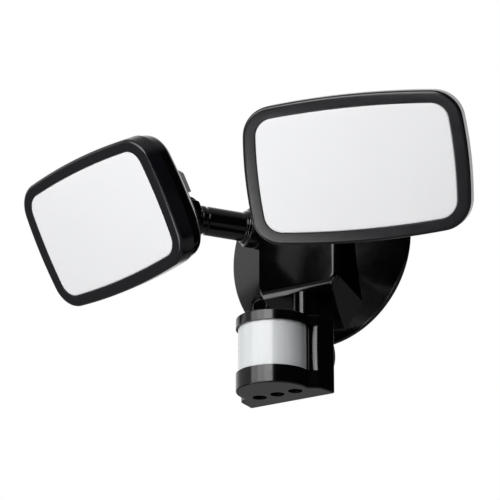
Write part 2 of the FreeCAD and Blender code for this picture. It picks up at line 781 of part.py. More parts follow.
def slab(name, kind, grow, start, length):
    """Plate with the head's bowed outline; start is the depth behind the face."""
    sizes = {"head": ("head_width", "head_height", "head_corner", "head_bulge_long", "head_bulge_short"),
             "glow": ("head_width - 2 * border_side", "head_height - 2 * border_top", "glow_corner",
                      "glow_bulge_long", "glow_bulge_short")}[kind]
    width, height, corner, bow_long, bow_short = sizes
    sketch = pillow(name + "_sketch", f"{width} + 2 * ({grow})", f"{height} + 2 * ({grow})",
                    f"{corner} + ({grow})", bow_long, bow_short, (0, f"-face_reach + ({start})", "face_rise"))
    return pull(name, sketch, length, V(0, 1, 0))


def head_bezel(side):
    outer = slab(side + "_bezel_block", "head", "0", "0", "bezel_depth")
    doc.recompute()
    face = -size("face_reach")
    outer = smooth(side + "_bezel_soft", outer, 1.0, lambda e: e.BoundBox.YMax < face + 0.01)
    cavity = slab(side + "_bezel_cavity", "head", "-bezel_wall", "bezel_face", "bezel_depth")
    step = slab(side + "_bezel_step", "head", "-rim_width", "-1", "1 + rim_step")
    window = slab(side + "_bezel_window", "glow", "0", "-1", "9")
    finish(cut(side + "_bezel_cut", outer, [cavity, step, window]), side + "_bezel", head_place(side))


def head_diffuser(side):
    plate = slab(side + "_glow_plate", "glow", "glow_flange", "bezel_face + seat_gap", "glow_thick")
    front = slab(side + "_glow_front", "glow", "-glow_gap", "glow_inset",
                 "bezel_face + seat_gap + 1 - glow_inset")
    doc.recompute()
    limit = -size("face_reach") + size("glow_inset")
    front = smooth(side + "_glow_soft", front, 0.6, lambda e: e.BoundBox.YMax < limit + 0.01)
    hollow = slab(side + "_glow_hollow", "glow", "-2.2", "glow_inset + 1.8", "9")
    finish(cut(side + "_glow", fuse(side + "_glow_blank", [plate, front]), hollow),
           side + "_diffuser", head_place(side))


def head_seal(side):
    outer = slab(side + "_seal_outer", "head", "-head_seal_in", "bezel_depth + seat_gap / 2",
                 "head_seal - seat_gap")
    inner = slab(side + "_seal_inner", "head", "-bezel_wall", "bezel_depth - 1", "head_seal + 2")
    finish(cut(side + "_seal_ring", outer, inner), side + "_head_seal", head_place(side))


def box_outline(name, half, low, high, inset, depth):
    """Rectangle across the head at a depth, drawn in from its named sides by an inset."""
    left, right = f"-({half} - {inset})", f"{half} - {inset}"
    bottom, top = f"{low} + {inset}", f"{high} - {inset}"
    corners = [(left, bottom), (right, bottom), (right, top), (left, top)]
    return outline(name, corners, (0, depth, 0), FACING)


def head_shell(side):
    """Rear shell with a rounded shoulder, in three sections."""
    sections = []
    for name, inset, corner, depth in (
            ("front", "shell_in", "head_corner - shell_in", "bezel_depth + head_seal"),
            ("middle", "(shell_in + 1.5)", "head_corner - shell_in - 1.5", "shell_depth - shell_shoulder"),
            ("back", "shell_back_in", "head_corner - shell_back_in + 3", "shell_depth")):
        width, height = f"head_width - 2 * {inset}", f"head_height - 2 * {inset}"
        sections.append(pillow(f"{side}_shell_{name}", width, height, corner, "head_bulge_long",
                               "head_bulge_short", (0, f"-face_reach + {depth}", "face_rise")))
    return fuse(side + "_shell", [loft(side + "_shell_a", sections[:2]),
                                  loft(side + "_shell_b", sections[1:])])


def head_pod(side):
    """Pod on the rear shell with a shoulder each side of the arm's room, and its hollow."""
    foot = ("pod_foot_half_width", "pod_foot_low", "pod_foot_high")
    tip = ("pod_half_width", "pod_low", "pod_high")
    pod = loft(side + "_pod", [box_outline(side + "_pod_foot", *foot, "0", "-face_reach + shell_depth - 3"),
                               box_outline(side + "_pod_tip", *tip, "0", "-pod_back")])
    doc.recompute()
    back = -size("pod_back")
    pod = smooth(side + "_pod_soft", pod, size("pod_round"), lambda e: e.BoundBox.YMax > back - 0.01)
    room = ("pod_room_half_width", "pod_low", "pod_room_high")
    hollow = loft(side + "_pod_hollow",
                  [box_outline(side + "_pod_foot_in", *foot, "pod_wall", "-face_reach + shell_depth - 3.1"),
                   box_outline(side + "_pod_tip_in", *room, "pod_wall", "-pod_floor - pod_wall")])
    slot = block(side + "_pod_slot", ("2 * cheek_in", "pod_floor", "60"), ("-cheek_in", "-pod_floor", -30))
    ledge = block(side + "_pod_ledge", ("80", "pod_floor", "30"), (-40, "-pod_floor", "pod_shoulder - 30"))
    return cut(side + "_pod_notched", pod, [slot, ledge]), hollow


def head_cheeks(side):
    """The two sides of the fork, each with a scoop from its round end up to the pod."""
    web = [("-pod_floor - 2", "-cheek_radius - 1"), ("0", "-cheek_radius"), ("0", "cheek_radius - fit_gap"),
           ("-2", "cheek_radius + 0.8"), ("-4.5", "cheek_radius + 3.4"), ("-7", "cheek_radius + 8"),
           ("-pod_floor - 2", "cheek_radius + 12")]
    cheeks = []
    for name, x in (("low", "-cheek_in - cheek_thick"), ("high", "cheek_in")):
        plan = outline(f"{side}_cheek_{name}_web", web, (x, 0, 0), FreeCAD.Rotation(V(1, 1, 1), 120))
        cheeks.append(pull(f"{side}_cheek_{name}", plan, "cheek_thick", V(1, 0, 0)))
        cheeks.append(rod(f"{side}_cheek_{name}_end", "cheek_radius", "cheek_thick", (x, 0, 0), ALONG_X))
    return cheeks


def board_corners():
    """Names and places of the four screws of a light board."""
    return [(f"{x}_{z}", f"{x} * board_screw_x", f"{z} * board_screw_z + face_rise")
            for x in (-1, 1) for z in (-1, 1)]


def head_housing(side):
    pod, pod_hollow = head_pod(side)
    hollow = slab(side + "_shell_hollow", "head", "-bezel_wall", "bezel_depth",
                  "shell_depth - bezel_depth - shell_shoulder")
    hollow_back = slab(side + "_shell_hollow_back", "head", "-shell_back_in - shell_wall + 1",
                       "shell_depth - shell_shoulder - 2", "shell_shoulder + 2 - shell_wall")
    walls = cut(side + "_shell_cut", fuse(side + "_shell_pod", [head_shell(side), pod]),
                [hollow, hollow_back, pod_hollow])
    posts, tools = [], [rod(side + "_cheek_hole", "pin_radius + fit_gap", 60, (-30, 0, 0), ALONG_X)]
    behind = "-face_reach + board_depth + board_thick"
    for name, x, z in board_corners():
        posts.append(rod(f"{side}_board_post_{name}", "board_post_radius",
                         "shell_depth - board_depth - board_thick - 1.2",
                         (x, behind + " + seat_gap", z), ALONG_Y))
        tools.append(rod(f"{side}_post_hole_{name}", "small_shank_radius + fit_gap", 6,
                         (x, behind + " - 1", z), ALONG_Y))
    body = fuse(side + "_housing_body", [walls] + head_cheeks(side) + posts)
    finish(cut(side + "_housing_cut", body, tools), side + "_head_housing", head_place(side))


def head_board(side):
    """Light board with its four screws."""
    plate = block(side + "_board_plate", ("board_width", "board_thick", "board_height"),
                  ("-board_width / 2", "-face_reach + board_depth", "face_rise - board_height / 2"))
    holes, screws = [], []
    face = "-face_reach + board_depth"
    for name, x, z in board_corners():
        holes.append(rod(f"{side}_board_hole_{name}", "small_shank_radius + 0.15", 6,
                         (x, face + " - 2", z), ALONG_Y))
        head = rod(f"{side}_small_head_{name}", "small_head_radius", "small_head_high",
                   (x, face + " - small_head_high - seat_gap / 2", z), ALONG_Y)
        shank = rod(f"{side}_small_shank_{name}", "small_shank_radius", 6, (x, face + " - 0.6", z), ALONG_Y)
        screws.append(fuse(f"{side}_small_screw_{name}", [head, shank]))
    finish(cut(side + "_board_cut", plate, holes), side + "_led_board", head_place(side))
    finish(gather(side + "_small_screws", screws), side + "_board_screws", head_place(side))


def head_chips(side):
    """Rows of light chips, with none in the corners, where the screws are."""
    chips = []
    columns, rows = size("chip_columns"), size("chip_rows")
    for i in range(columns):
        for j in range(rows):
            across = f"({i - (columns - 1) / 2}) * chip_pitch_x - chip_width / 2"
            up = f"({j - (rows - 1) / 2}) * chip_pitch_z - chip_height / 2 + face_rise"
            if i in (0, columns - 1) and j in (0, rows - 1):
                continue
            chips.append(block(f"{side}_chip_{i}_{j}", ("chip_width", "chip_thick", "chip_height"),
                               (across, "-face_reach + board_depth - chip_thick - 0.02", up)))
    finish(gather(side + "_chips", chips), side + "_led_chips", head_place(side))


def head_bolt(side):
    """Tilt bolt with a six-sided head, and its nut."""
    far = "cheek_in + cheek_thick + seat_gap"
    shank = rod(side + "_bolt_shank", "pin_radius", f"2 * ({far}) + nut_long + 1",
                (f"-({far}) - nut_long - 0.5", 0, 0), ALONG_X)
    head = rod(side + "_bolt_head", "bolt_head_radius", "bolt_head_long", (far, 0, 0), ALONG_X)
    flats = []
    for k in range(6):
        spin = FreeCAD.Rotation(V(1, 0, 0), 60 * k)
        start = V(size("cheek_in") + size("cheek_thick") + 1.6, 0, 0)
        at = start + spin.multVec(V(0, -4, size("bolt_flat_radius")))
        flats.append(block(f"{side}_bolt_flat_{k}", (4, 8, 3), tuple(at), spin))
    blank = fuse(side + "_bolt_blank", [shank, head])
    finish(cut(side + "_bolt_cut", blank, flats), side + "_tilt_bolt", head_place(side))
    corners = [tuple(f"{turn(math.radians(60 * k)):.6f} * nut_radius" for turn in (math.cos, math.sin))
               for k in range(6)]
    hexagon = outline(side + "_nut_outline", corners, (f"-({far}) - nut_long", 0, 0),
                      FreeCAD.Rotation(V(1, 1, 1), 120))
    nut = pull(side + "_nut_block", hexagon, "nut_long", V(1, 0, 0))
    hole = rod(side + "_nut_hole", "pin_radius + 0.03", 9, (f"-({far}) - nut_long - 2", 0, 0), ALONG_X)
    finish(cut(side + "_nut_cut", nut, hole), side + "_tilt_nut", head_place(side))


# Stem and sensor

def sensor_place():
    centre = V(0, -size("stem_set_out"), 0)
    turn = FreeCAD.Rotation(V(0, 0, 1), SENSOR_PAN)
    return FreeCAD.Placement(V(0, 0, 0), turn, centre)


def stem():
    """Stem with a thin neck that turns in the base and a knuckle for the sensor."""
    axis = (0, "-stem_set_out")
    lower = rod("stem_lower", "stem_radius", "tilt_pin_drop - stem_top - 5.5", (*axis, "-tilt_pin_drop + 5"))
    neck = rod("stem_neck", "stem_neck_radius", "stem_top - neck_top + 2", (*axis, "-stem_top - 2"))
    knuckle = rod("stem_knuckle", "knuckle_radius", "2 * knuckle_half_width",
                  ("-knuckle_half_width", "-stem_set_out", "-tilt_pin_drop"), ALONG_X)
    flats = [block("stem_flat_" + name, (10, 40, "knuckle_radius + 6"),
                   (x, "-stem_set_out - 20", "-tilt_pin_drop - 1"))
             for name, x in (("low", "-knuckle_half_width - 10"), ("high", "knuckle_half_width"))]
    groove = cut("clip_groove",
                 rod("clip_groove_out", 9, "clip_thick + 2 * seat_gap", (*axis, "-guide_top + 0.2")),
                 rod("clip_groove_in", "stem_neck_radius - 1", 9, (*axis, "-guide_top - 3")))
    bore = rod("stem_bore", "stem_bore_radius", 60, (*axis, -66))
    pin = rod("stem_pin_hole", "pin_radius + fit_gap", 40, (-20, "-stem_set_out", "-tilt_pin_drop"), ALONG_X)
    blank = fuse("stem_blank", [lower, neck, knuckle])
    finish(cut("stem_cut", blank, flats + [groove, bore, pin]), "sensor_stem", sensor_place())


def stem_clip():
    """Spring clip in the neck's groove that keeps the stem in the base."""
    axis = (0, "-stem_set_out")
    outer = rod("clip_outer", "clip_radius", "clip_thick", (*axis, "-guide_top + running_gap"))
    inner = rod("clip_inner", "stem_neck_radius - 0.95", 9, (*axis, "-guide_top - 3"))
    mouth = block("clip_mouth_room", ("clip_mouth", 12, 9),
                  ("-clip_mouth / 2", "-stem_set_out", "-guide_top - 3"))
    finish(cut("clip", outer, [inner, mouth]), "stem_clip", sensor_place())


def sensor_prism(name, front, inset, start, length):
    """Upright shape with the sensor's round nose, joined to a body whose front half is given."""
    nose = rod(name + "_nose", f"sensor_radius - {inset}", length, (0, "-sensor_round_set_out", start))
    right = front + [(f"ear_back_half - {inset}", f"-sensor_back - {inset} - 1"),
                     (f"ear_back_half - 1 - {inset}", f"-sensor_back - {inset}")]
    left = [(f"-({x})", y) for x, y in reversed(right)]
    body = pull(name + "_body", outline(name + "_plan", right + left, (0, 0, start)), length, V(0, 0, 1))
    return fuse(name, [nose, body])


def flare():
    """Smooth step that widens the sensor's flank from its nose to its ears."""
    points = []
    for k in range(FLARE_STEPS + 1):
        way = k / FLARE_STEPS
        share = way * way * (3 - 2 * way)
        points.append((f"{1 - share:.4f} * (sensor_radius - 0.6) + {share:.4f} * ear_front_half",
                       f"{way - 1:.4f} * flare_start - {way:.4f} * flare_end"))
    return points


def sensor_window(tall):
    """Room in front of the lens, between the rounded fronts of the two ears."""
    ears = []
    for name, x in (("left", "-ear_front_half"), ("right", "0")):
        ears.append(block("ear_" + name, ("ear_front_half", "ear_front", tall),
                          (x, "-ear_front", "-lens_bottom")))
    doc.recompute()
    front, half = -size("ear_front"), size("ear_front_half")
    ears = [smooth(f"ear_soft_{k}", ear, size("ear_round"),
                   lambda e: e.BoundBox.YMax < front + 0.01 and abs(e.BoundBox.XMax) > half - 0.01
                   and e.BoundBox.XLength < 0.01) for k, ear in enumerate(ears)]
    room = block("window_room", (80, 80, tall), (-40, "-ear_front + ear_round - 80", "-lens_bottom"))
    drum = rod("window_drum", "sensor_radius", tall, (0, "-sensor_round_set_out", "-lens_bottom"))
    ahead = block("window_ahead", (80, 60, tall), (-40, "-window_end - 60", "-lens_bottom"))
    return [cut("window_sides", room, ears + [drum]), ahead]


def sensor_housing():
    tall = "sensor_bottom - sensor_top"
    outer = sensor_prism("sensor_block", flare(), "0", "-sensor_bottom", tall)
    inner_front = [("ear_front_half - sensor_wall - 1.8", "-ear_front + sensor_wall"),
                   ("ear_front_half - sensor_wall", "-ear_front + sensor_wall + 1.8")]
    hollow = sensor_prism("sensor_hollow", inner_front, "sensor_wall", "-sensor_bottom + sensor_wall",
                          f"{tall} - 2 * sensor_wall")
    seat = rod("seat_outer", "sensor_radius - lens_inset + 0.1", "lens_bottom - lens_top + 2 * lens_lip",
               (0, "-sensor_round_set_out", "-lens_bottom - lens_lip"))
    behind = block("seat_back", (80, 40, 60), (-40, "-lens_end + 0.2", "-lens_bottom - 10"))
    rear = block("rear_room", (80, 20, 60),
                 (-40, "-sensor_back - rear_cover_thick - seat_gap", "-sensor_bottom - 5"))
    bosses, tools = [], [cut("seat", seat, behind), rear] + sensor_window("lens_bottom - lens_top")
    for name, x, z in SENSOR_SCREWS:
        start = "-sensor_back - rear_cover_thick - seat_gap - boss_long"
        bosses.append(rod("boss_" + name, "boss_radius", "boss_long + 1", (x, start, z), ALONG_Y))
        tools.append(rod("boss_hole_" + name, "small_shank_radius + fit_gap", 9,
                         (x, start + " + 1", z), ALONG_Y))
    shell = fuse("sensor_shell_bosses", [cut("sensor_walls", outer, hollow)] + bosses)
    for k in (-1, 0, 1):
        tools.append(rod(f"dial_hole_{k}", "dial_hole_radius", 8,
                         (f"{k} * dial_pitch", "-dial_set_out", "-sensor_bottom - 3")))
    finish(cut("sensor_shell", shell, tools), "sensor_housing", sensor_place())


def sensor_lens():
    tall = "lens_bottom - lens_top + 2 * lens_lip - 0.2"
    at = (0, "-sensor_round_set_out", "-lens_bottom - lens_lip + 0.1")
    outer = rod("lens_outer", "sensor_radius - lens_inset", tall, at)
    inner = rod("lens_inner", "sensor_radius - lens_inset - lens_thick", 60,
                (0, "-sensor_round_set_out", "-lens_bottom - 20"))
    back = block("lens_back", (80, 40, 60), (-40, "-lens_end", "-lens_bottom - 20"))
    finish(cut("lens", outer, [inner, back]), "sensor_lens", sensor_place())


def sensor_rear_cover():
    tall = "sensor_bottom - sensor_top - 2 * seat_gap"
    plate = block("rear_plate", ("2 * ear_back_half - 2", "rear_cover_thick", tall),
                  ("-ear_back_half + 1", "-sensor_back - rear_cover_thick", "-sensor_bottom + seat_gap"))
    hump = overlap("hump", rod("hump_rod", "hump_radius", "2 * ear_back_half - 1.2",
                               ("-ear_back_half + 0.6", "-sensor_back - hump_radius + hump_high",
                                "-tilt_pin_drop - 2"), ALONG_X),
                   block("hump_limit", (80, 20, 60), (-40, "-sensor_back - 1", "-sensor_bottom")))
    lugs = []
    for name, x in (("low", "-knuckle_half_width - lug_gap - lug_thick"),
                    ("high", "knuckle_half_width + lug_gap")):
        lugs.append(rod(f"lug_{name}_end", "knuckle_radius", "lug_thick",
                        (x, "-stem_set_out", "-tilt_pin_drop"), ALONG_X))
        web = ("lug_thick", "sensor_back - stem_set_out + 1", "2 * knuckle_radius")
        lugs.append(block(f"lug_{name}_web", web, (x, "-sensor_back - 1", "-tilt_pin_drop - knuckle_radius")))
    post_long = "sensor_board_set_out - board_thick - seat_gap - sensor_back - rear_cover_thick + 1"
    post_start = "-sensor_board_set_out + board_thick + seat_gap"
    posts = [rod(f"board_post_{x}_{z}", "sensor_post_radius", post_long,
                 (f"{x} * sensor_post_x", post_start, f"-sensor_post_{z}"), ALONG_Y)
             for x in (-1, 1) for z in ("top", "bottom")]
    blank = fuse("rear_blank", [plate, hump] + lugs + posts)
    tools = [rod("lug_hole", "pin_radius + fit_gap", 60, (-30, "-stem_set_out", "-tilt_pin_drop"), ALONG_X),
             rod("cable_way", 3.0, 12, (0, "-sensor_back - 6", "-tilt_pin_drop + 2"), ALONG_Y)]
    for name, x, z in SENSOR_SCREWS:
        tools.append(rod("rear_hole_" + name, "small_shank_radius + 0.15", 12, (x, "-sensor_back - 6", z),
                         ALONG_Y))
    finish(cut("rear_cover", blank, tools), "sensor_rear_cover", sensor_place())


def sensor_screws():
    screws = []
    for name, x, z in SENSOR_SCREWS:
        head = rod("rear_head_" + name, "small_head_radius", "small_head_high",
                   (x, "-sensor_back + seat_gap / 2", z), ALONG_Y)
        shank = rod("rear_shank_" + name, "small_shank_radius", "rear_cover_thick + boss_long - 1",
                    (x, "-sensor_back - rear_cover_thick - boss_long + 1.2", z), ALONG_Y)
        screws.append(fuse("rear_screw_" + name, [head, shank]))
    finish(gather("rear_screws", screws), "sensor_screws", sensor_place())


def sensor_tilt_pin():
    far = "knuckle_half_width + lug_gap + lug_thick + seat_gap"
    shank = rod("sensor_pin_shank", "pin_radius", f"2 * ({far}) + 0.6",
                (f"-({far}) - 0.3", "-stem_set_out", "-tilt_pin_drop"), ALONG_X)
    head = rod("sensor_pin_head", "tilt_pin_head_radius", "tilt_pin_head_long",
               (far, "-stem_set_out", "-tilt_pin_drop"), ALONG_X)
    rivet = rod("sensor_pin_rivet", "tilt_pin_rivet_radius", "tilt_pin_rivet_long",
                (f"-({far}) - tilt_pin_rivet_long", "-stem_set_out", "-tilt_pin_drop"), ALONG_X)
    finish(fuse("sensor_pin", [shank, head, rivet]), "sensor_tilt_pin", sensor_place())


def sensor_inside():
    """Circuit board, heat-sensing eye and the controls under the dials."""
    board = block("sensor_board_plate", ("sensor_board_size", "board_thick", "sensor_board_size"),
                  ("-sensor_board_size / 2", "-sensor_board_set_out", "-sensor_board_low"))
    finish(gather("sensor_board_whole", [board]), "sensor_board", sensor_place())
    front = "-sensor_board_set_out - seat_gap"
    can = rod("eye_can", "eye_can_radius", "eye_can_long", (0, front, "-eye_drop"), FACING)
    window = block("eye_window", ("eye_window_width", 1, "eye_window_height"),
                   ("-eye_window_width / 2", f"{front} - eye_can_long + eye_window_deep - 1",
                    "-eye_drop - eye_window_height / 2"))
    finish(cut("heat_eye", can, window), "heat_sensing_eye", sensor_place())
    controls = [block(f"control_{k}", ("control_size", "control_size", "control_thick"),
                      (f"{k} * dial_pitch - control_size / 2", "-dial_set_out - control_size / 2",
                       "-sensor_bottom + control_rise")) for k in (-1, 0, 1)]
    finish(gather("controls", controls), "dial_controls", sensor_place())


def dial(name, k):
    """Slotted dial with a skirt that keeps it behind its hole."""
    x = f"{k} * dial_pitch"
    body = rod(name + "_body", "dial_radius", "dial_long", (x, "-dial_set_out", "-sensor_bottom + dial_sunk"))
    skirt = rod(name + "_skirt", "dial_hole_radius + dial_skirt", "dial_skirt_thick",
                (x, "-dial_set_out", "-sensor_bottom + sensor_wall + 0.3"))
    slot = block(name + "_slot_room", ("2 * dial_radius + 1", "dial_slot", "dial_slot_deep + 1"),
                 (f"{x} - dial_radius - 0.5", "-dial_set_out - dial_slot / 2",
                  "-sensor_bottom + dial_sunk - 1"))
    finish(cut(name + "_cut", fuse(name + "_blank", [body, skirt]), slot), name, sensor_place())


wall_pad()
wall_plate()
base_cover()
cover_screws_and_plugs()
cable_gland()
driver()
terminal_block()
for side_name in SIDES:
    arm(side_name)
    lock_ring(side_name)
    arm_seal(side_name)
    head_bezel(side_name)
    head_diffuser(side_name)
    head_seal(side_name)
    head_housing(side_name)
    head_board(side_name)
    head_chips(side_name)
    head_bolt(side_name)
stem()
stem_clip()
sensor_housing()
sensor_lens()
sensor_rear_cover()
sensor_screws()
sensor_tilt_pin()
sensor_inside()
for number, dial_name in enumerate(("light_level_dial", "time_dial", "range_dial")):
    dial(dial_name, number - 1)
doc.recompute()

for item in doc.Objects:
    if "Invalid" in item.State or "Error" in item.State:
        raise RuntimeError("item did not build: " + item.Name)
for item in finished:
    shape = item.Shape
    if shape.isNull() or not shape.isValid() or not shape.Solids:
        raise RuntimeError("bad shape: " + item.Label)
    shape.exportStep(f"parts/{item.Label}.step")
    box = shape.BoundBox
    spans = [f"{low:7.1f} {high:7.1f}" for low, high in
             ((box.XMin, box.XMax), (box.YMin, box.YMax), (box.ZMin, box.ZMax))]
    print(f"{item.Label:22s} solids {len(shape.Solids):2d} volume {shape.Volume:9.0f} spans", *spans)
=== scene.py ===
import json
import math

import bmesh
import bpy
from bpy.props import FloatProperty, FloatVectorProperty, PointerProperty
from mathutils import Matrix, Vector
from mathutils.geometry import intersect_sphere_sphere_2d


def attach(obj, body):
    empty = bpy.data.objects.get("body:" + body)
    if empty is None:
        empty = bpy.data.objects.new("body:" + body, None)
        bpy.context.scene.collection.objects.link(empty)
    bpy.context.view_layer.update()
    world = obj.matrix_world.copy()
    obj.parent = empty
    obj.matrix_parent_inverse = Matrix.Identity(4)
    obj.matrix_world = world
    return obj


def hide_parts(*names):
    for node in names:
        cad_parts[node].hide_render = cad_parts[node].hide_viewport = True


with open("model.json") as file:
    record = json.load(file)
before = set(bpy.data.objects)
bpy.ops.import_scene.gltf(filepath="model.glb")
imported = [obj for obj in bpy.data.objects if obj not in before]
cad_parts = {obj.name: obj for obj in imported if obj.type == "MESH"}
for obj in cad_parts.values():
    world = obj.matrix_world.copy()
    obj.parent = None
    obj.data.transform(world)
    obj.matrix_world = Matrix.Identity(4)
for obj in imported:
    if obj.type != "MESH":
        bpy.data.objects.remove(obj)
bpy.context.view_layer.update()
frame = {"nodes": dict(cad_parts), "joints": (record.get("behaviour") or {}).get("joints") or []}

# Motion sensor security light: two lamp heads on arms, a round base and a hanging sensor.
# The wall is the plane y = 0, the light points towards -Y, Z is up and X is to the right
# seen from the front. Meshes are shaped in millimetres and brought to metres when finished.

bl_info = {
    "name": "Motion Sensor Security Light",
    "version": (1, 0, 0),
    "blender": (4, 5, 0),
    "location": "3D Viewport > Sidebar > Security Light",
    "description": "Models a twin security light with a hanging motion sensor",
    "category": "Add Mesh",
}

MM = 0.001
SIDES = ("left", "right")
DIALS = ("light_level_dial", "time_dial", "range_dial")
LOOK_AT = Vector((0.0, -0.05, -0.01))
HEAD_LEAN = {"left": 28.9, "right": 25.9}

# Fixed sizes in millimetres; angles in radians unless said.
DIAL_SET_OUT = 55.0  # the dials' distance from the wall
DIAL_SUNK = 1.9  # depth of the dials' faces in their holes
SCREW_REACH = 52.0  # the cover screws' distance from the middle of the base
SCREW_ANGLES = (math.radians(37), math.radians(217))
HEAD_BOWS = (2.3, 1.3)  # how far a head's long and short sides bow out
WINDOW_BOWS = (1.95, 1.05)  # the same for its diffuser
WINDOW_CORNER = 11.0
BEZEL_ROUND = 2.0
BEZEL_BACK = 10.9  # depth of the bezel behind the lamp's face
POD_BACK = 5.0  # the pod's rear, in front of the tilt bolt
POD_FLOOR = 11.5  # floor of the slot for the arm's eye
POD_SHOULDER = 9.4  # height of the ledge beside the fork
POD_FOOT_HALF = 46.0
POD_TIP_HALF = 28.6
CHEEK_IN = 10.3  # half of the room in the fork
CHEEK_THICK = 4.8
STEM_SET_OUT = 24.0  # the stem's distance from the wall
STEM_TOP = 34.9  # drop of the stem's shoulder below the centre
PIN_DROP = 80.0  # drop of the sensor's tilt pin
TURRET_FOOT = -6.2
TURRET_ROUND = 3.4
EAR_FRONT = -52.6  # front of the two ears beside the lens
EAR_ROUND = 5.3
EAR_BOW = 0.9  # how far the ears bow inwards at mid height
RIM_FRONT = -54.8  # front of the rim that the lens lies on
LENS_STEPS = 14
LENS_TURN = 224  # degrees

# Lamps: name, turn and lift of the way to it in degrees, distance, width and height in metres, radiance.
LAMPS = (
    ("softbox left", -26, 24, 0.85, 0.34, 0.5, 3.0),
    ("softbox middle", -4, 24, 0.8, 0.32, 0.5, 4.4),
    ("softbox right", 18, 24, 0.85, 0.34, 0.5, 6.0),
    ("low card", -20, -36, 0.8, 0.66, 0.3, 3.8),
    ("left card", -72, 17.5, 0.43, 0.2, 0.12, 0.65),
    ("edge strip", 17, -9, 0.8, 0.06, 0.3, 7.0),
)

# The stage, in metres.
FLOOR_HALF = 24.0
FLOOR_DROP = 2.6
BACKDROP_WAY = Vector((-0.51, 0.80, 0.33)).normalized()
CAMERA_TURN = math.radians(32.42)
CAMERA_LIFT = math.radians(-19.33)
CAMERA_PLACE = (0.8453, -1.4169, -0.5776)
CAMERA_SENSOR = 36.0
CAMERA_LENS = 36.0 * 2827 / 500

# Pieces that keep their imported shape; a name that starts with _ is on both sides.
FITTINGS = {
    "wall_pad": "rubber", "wall_plate": "coated steel", "cable_gland": "rubber", "cover_screws": "zinc plate",
    "driver_board": "green board", "driver_components": "component", "driver_standoffs": "nylon",
    "terminal_block": "nylon", "terminal_screws": "brass", "_arm_seal": "rubber", "_head_seal": "rubber",
    "_led_board": "white board", "_led_chips": "phosphor", "_board_screws": "zinc plate",
    "stem_clip": "zinc plate", "sensor_board": "green board", "heat_sensing_eye": "zinc plate",
    "dial_controls": "component", "sensor_screws": "zinc plate", "sensor_tilt_pin": "zinc plate",
}


def joint(name):
    """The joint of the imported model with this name."""
    return next(item for item in frame["joints"] if item["name"] == name)


def colour(name, text, default):
    return FloatVectorProperty(name=name, description=text, subtype="COLOR", size=3, min=0, max=1,
                               default=default)


def length(name, text, default):
    return FloatProperty(name=name, description=text, unit="LENGTH", min=0, default=default)


class LightFinishes(bpy.types.PropertyGroup):
    black: colour("Black plastic", "Glossy moulded plastic of the body", (0.001, 0.001, 0.0012))
    border: colour("Lamp border", "Smoked border round each diffuser", (0.004, 0.004, 0.006))
    opal: colour("Diffuser", "Milky plastic in front of the light chips", (0.765, 0.768, 0.778))
    lens: colour("Sensor lens", "White sheet in front of the heat-sensing eye", (0.585, 0.602, 0.612))
    rubber: colour("Rubber", "Seals, pad and cable gland", (0.012, 0.012, 0.012))
    zinc: colour("Zinc plate", "Screws and clips", (0.55, 0.55, 0.57))
    coated_steel: colour("Coated steel", "Wall plate", (0.03, 0.03, 0.032))
    board_green: colour("Green board", "Circuit boards", (0.015, 0.12, 0.04))
    board_white: colour("White board", "Light boards", (0.75, 0.75, 0.72))
    phosphor: colour("Light chips", "Yellow coating of the chips", (0.8, 0.6, 0.12))
    nylon: colour("Nylon", "Terminal block", (0.7, 0.7, 0.66))
    brass: colour("Brass", "Terminal screws", (0.7, 0.52, 0.22))
    component: colour("Component", "Moulded blocks on the circuit boards", (0.02, 0.022, 0.028))
    dial: colour("Dial", "Slotted dials under the sensor", (0.02, 0.02, 0.021))


class LightSizes(bpy.types.PropertyGroup):
    head_width: length("Head width", "Long side of a lamp head", 0.131)
    head_height: length("Head height", "Short side of a lamp head", 0.085)
    head_corner: length("Head corner", "Radius of a lamp head's corners", 0.018)
    border_side: length("Side border", "Border at the short sides", 0.0079)
    border_top: length("Top border", "Border at the long sides", 0.0073)
    face_reach: length("Face reach", "Distance from the tilt bolt to the lamp's face", 0.059)
    face_rise: length("Face rise", "Height of the face's centre over the tilt bolt", 0.011)
    disc_radius: length("Base radius", "Radius of the round base at its rim", 0.0636)
    disc_depth: length("Base depth", "Depth of the domed base at its middle", 0.016)
    disc_back: length("Base seat", "Radius of the domed base at its pad", 0.0605)
    turret_front: length("Turret front", "Distance of the turret's front from the wall", 0.0323)
    turret_half: length("Turret half width", "Half width of the turret's front", 0.0275)
    arm_radius: length("Arm radius", "Radius of the two arms", 0.009)
    stem_radius: length("Stem radius", "Radius of the sensor's stem", 0.0075)
    sensor_radius: length("Sensor nose", "Radius of the sensor's round front", 0.0222)
    sensor_nose: length("Nose set-out", "Distance of the round front's middle from the wall", 0.0594)
    sensor_back: length("Sensor back", "Distance of the sensor's rear from the wall", 0.038)
    sensor_half: length("Sensor half width", "Half width of the sensor's rear", 0.0296)
    lens_inset: length("Lens inset", "Depth of the lens behind the sensor's nose", 0.0012)
    sensor_top: length("Sensor top", "Drop of the sensor's top below the centre", 0.0604)
    sensor_bottom: length("Sensor bottom", "Drop of the sensor's bottom below the centre", 0.1056)
    lens_top: length("Lens top", "Drop of the lens's upper edge", 0.0667)
    lens_bottom: length("Lens bottom", "Drop of the lens's lower edge", 0.0946)
    dial_pitch: length("Dial spacing", "Distance between the dials", 0.0125)


def mm(name):
    """A size in millimetres."""
    return getattr(bpy.context.scene.light_sizes, name) / MM


def paint(name):
    return (*getattr(bpy.context.scene.light_finishes, name), 1.0)


# Finishes

def start_material(name):
    """An empty node material with one Principled shader."""
    material = bpy.data.materials.new(name)
    material.use_nodes = True
    nodes = material.node_tree.nodes
    nodes.clear()
    out = nodes.new("ShaderNodeOutputMaterial")
    shader = nodes.new("ShaderNodeBsdfPrincipled")
    material.node_tree.links.new(shader.outputs[0], out.inputs["Surface"])
    return material, shader


def add_node(material, kind, **values):
    node = material.node_tree.nodes.new(kind)
    for key, value in values.items():
        if key in node.inputs:
            node.inputs[key].default_value = value
        else:
            setattr(node, key, value)
    return node


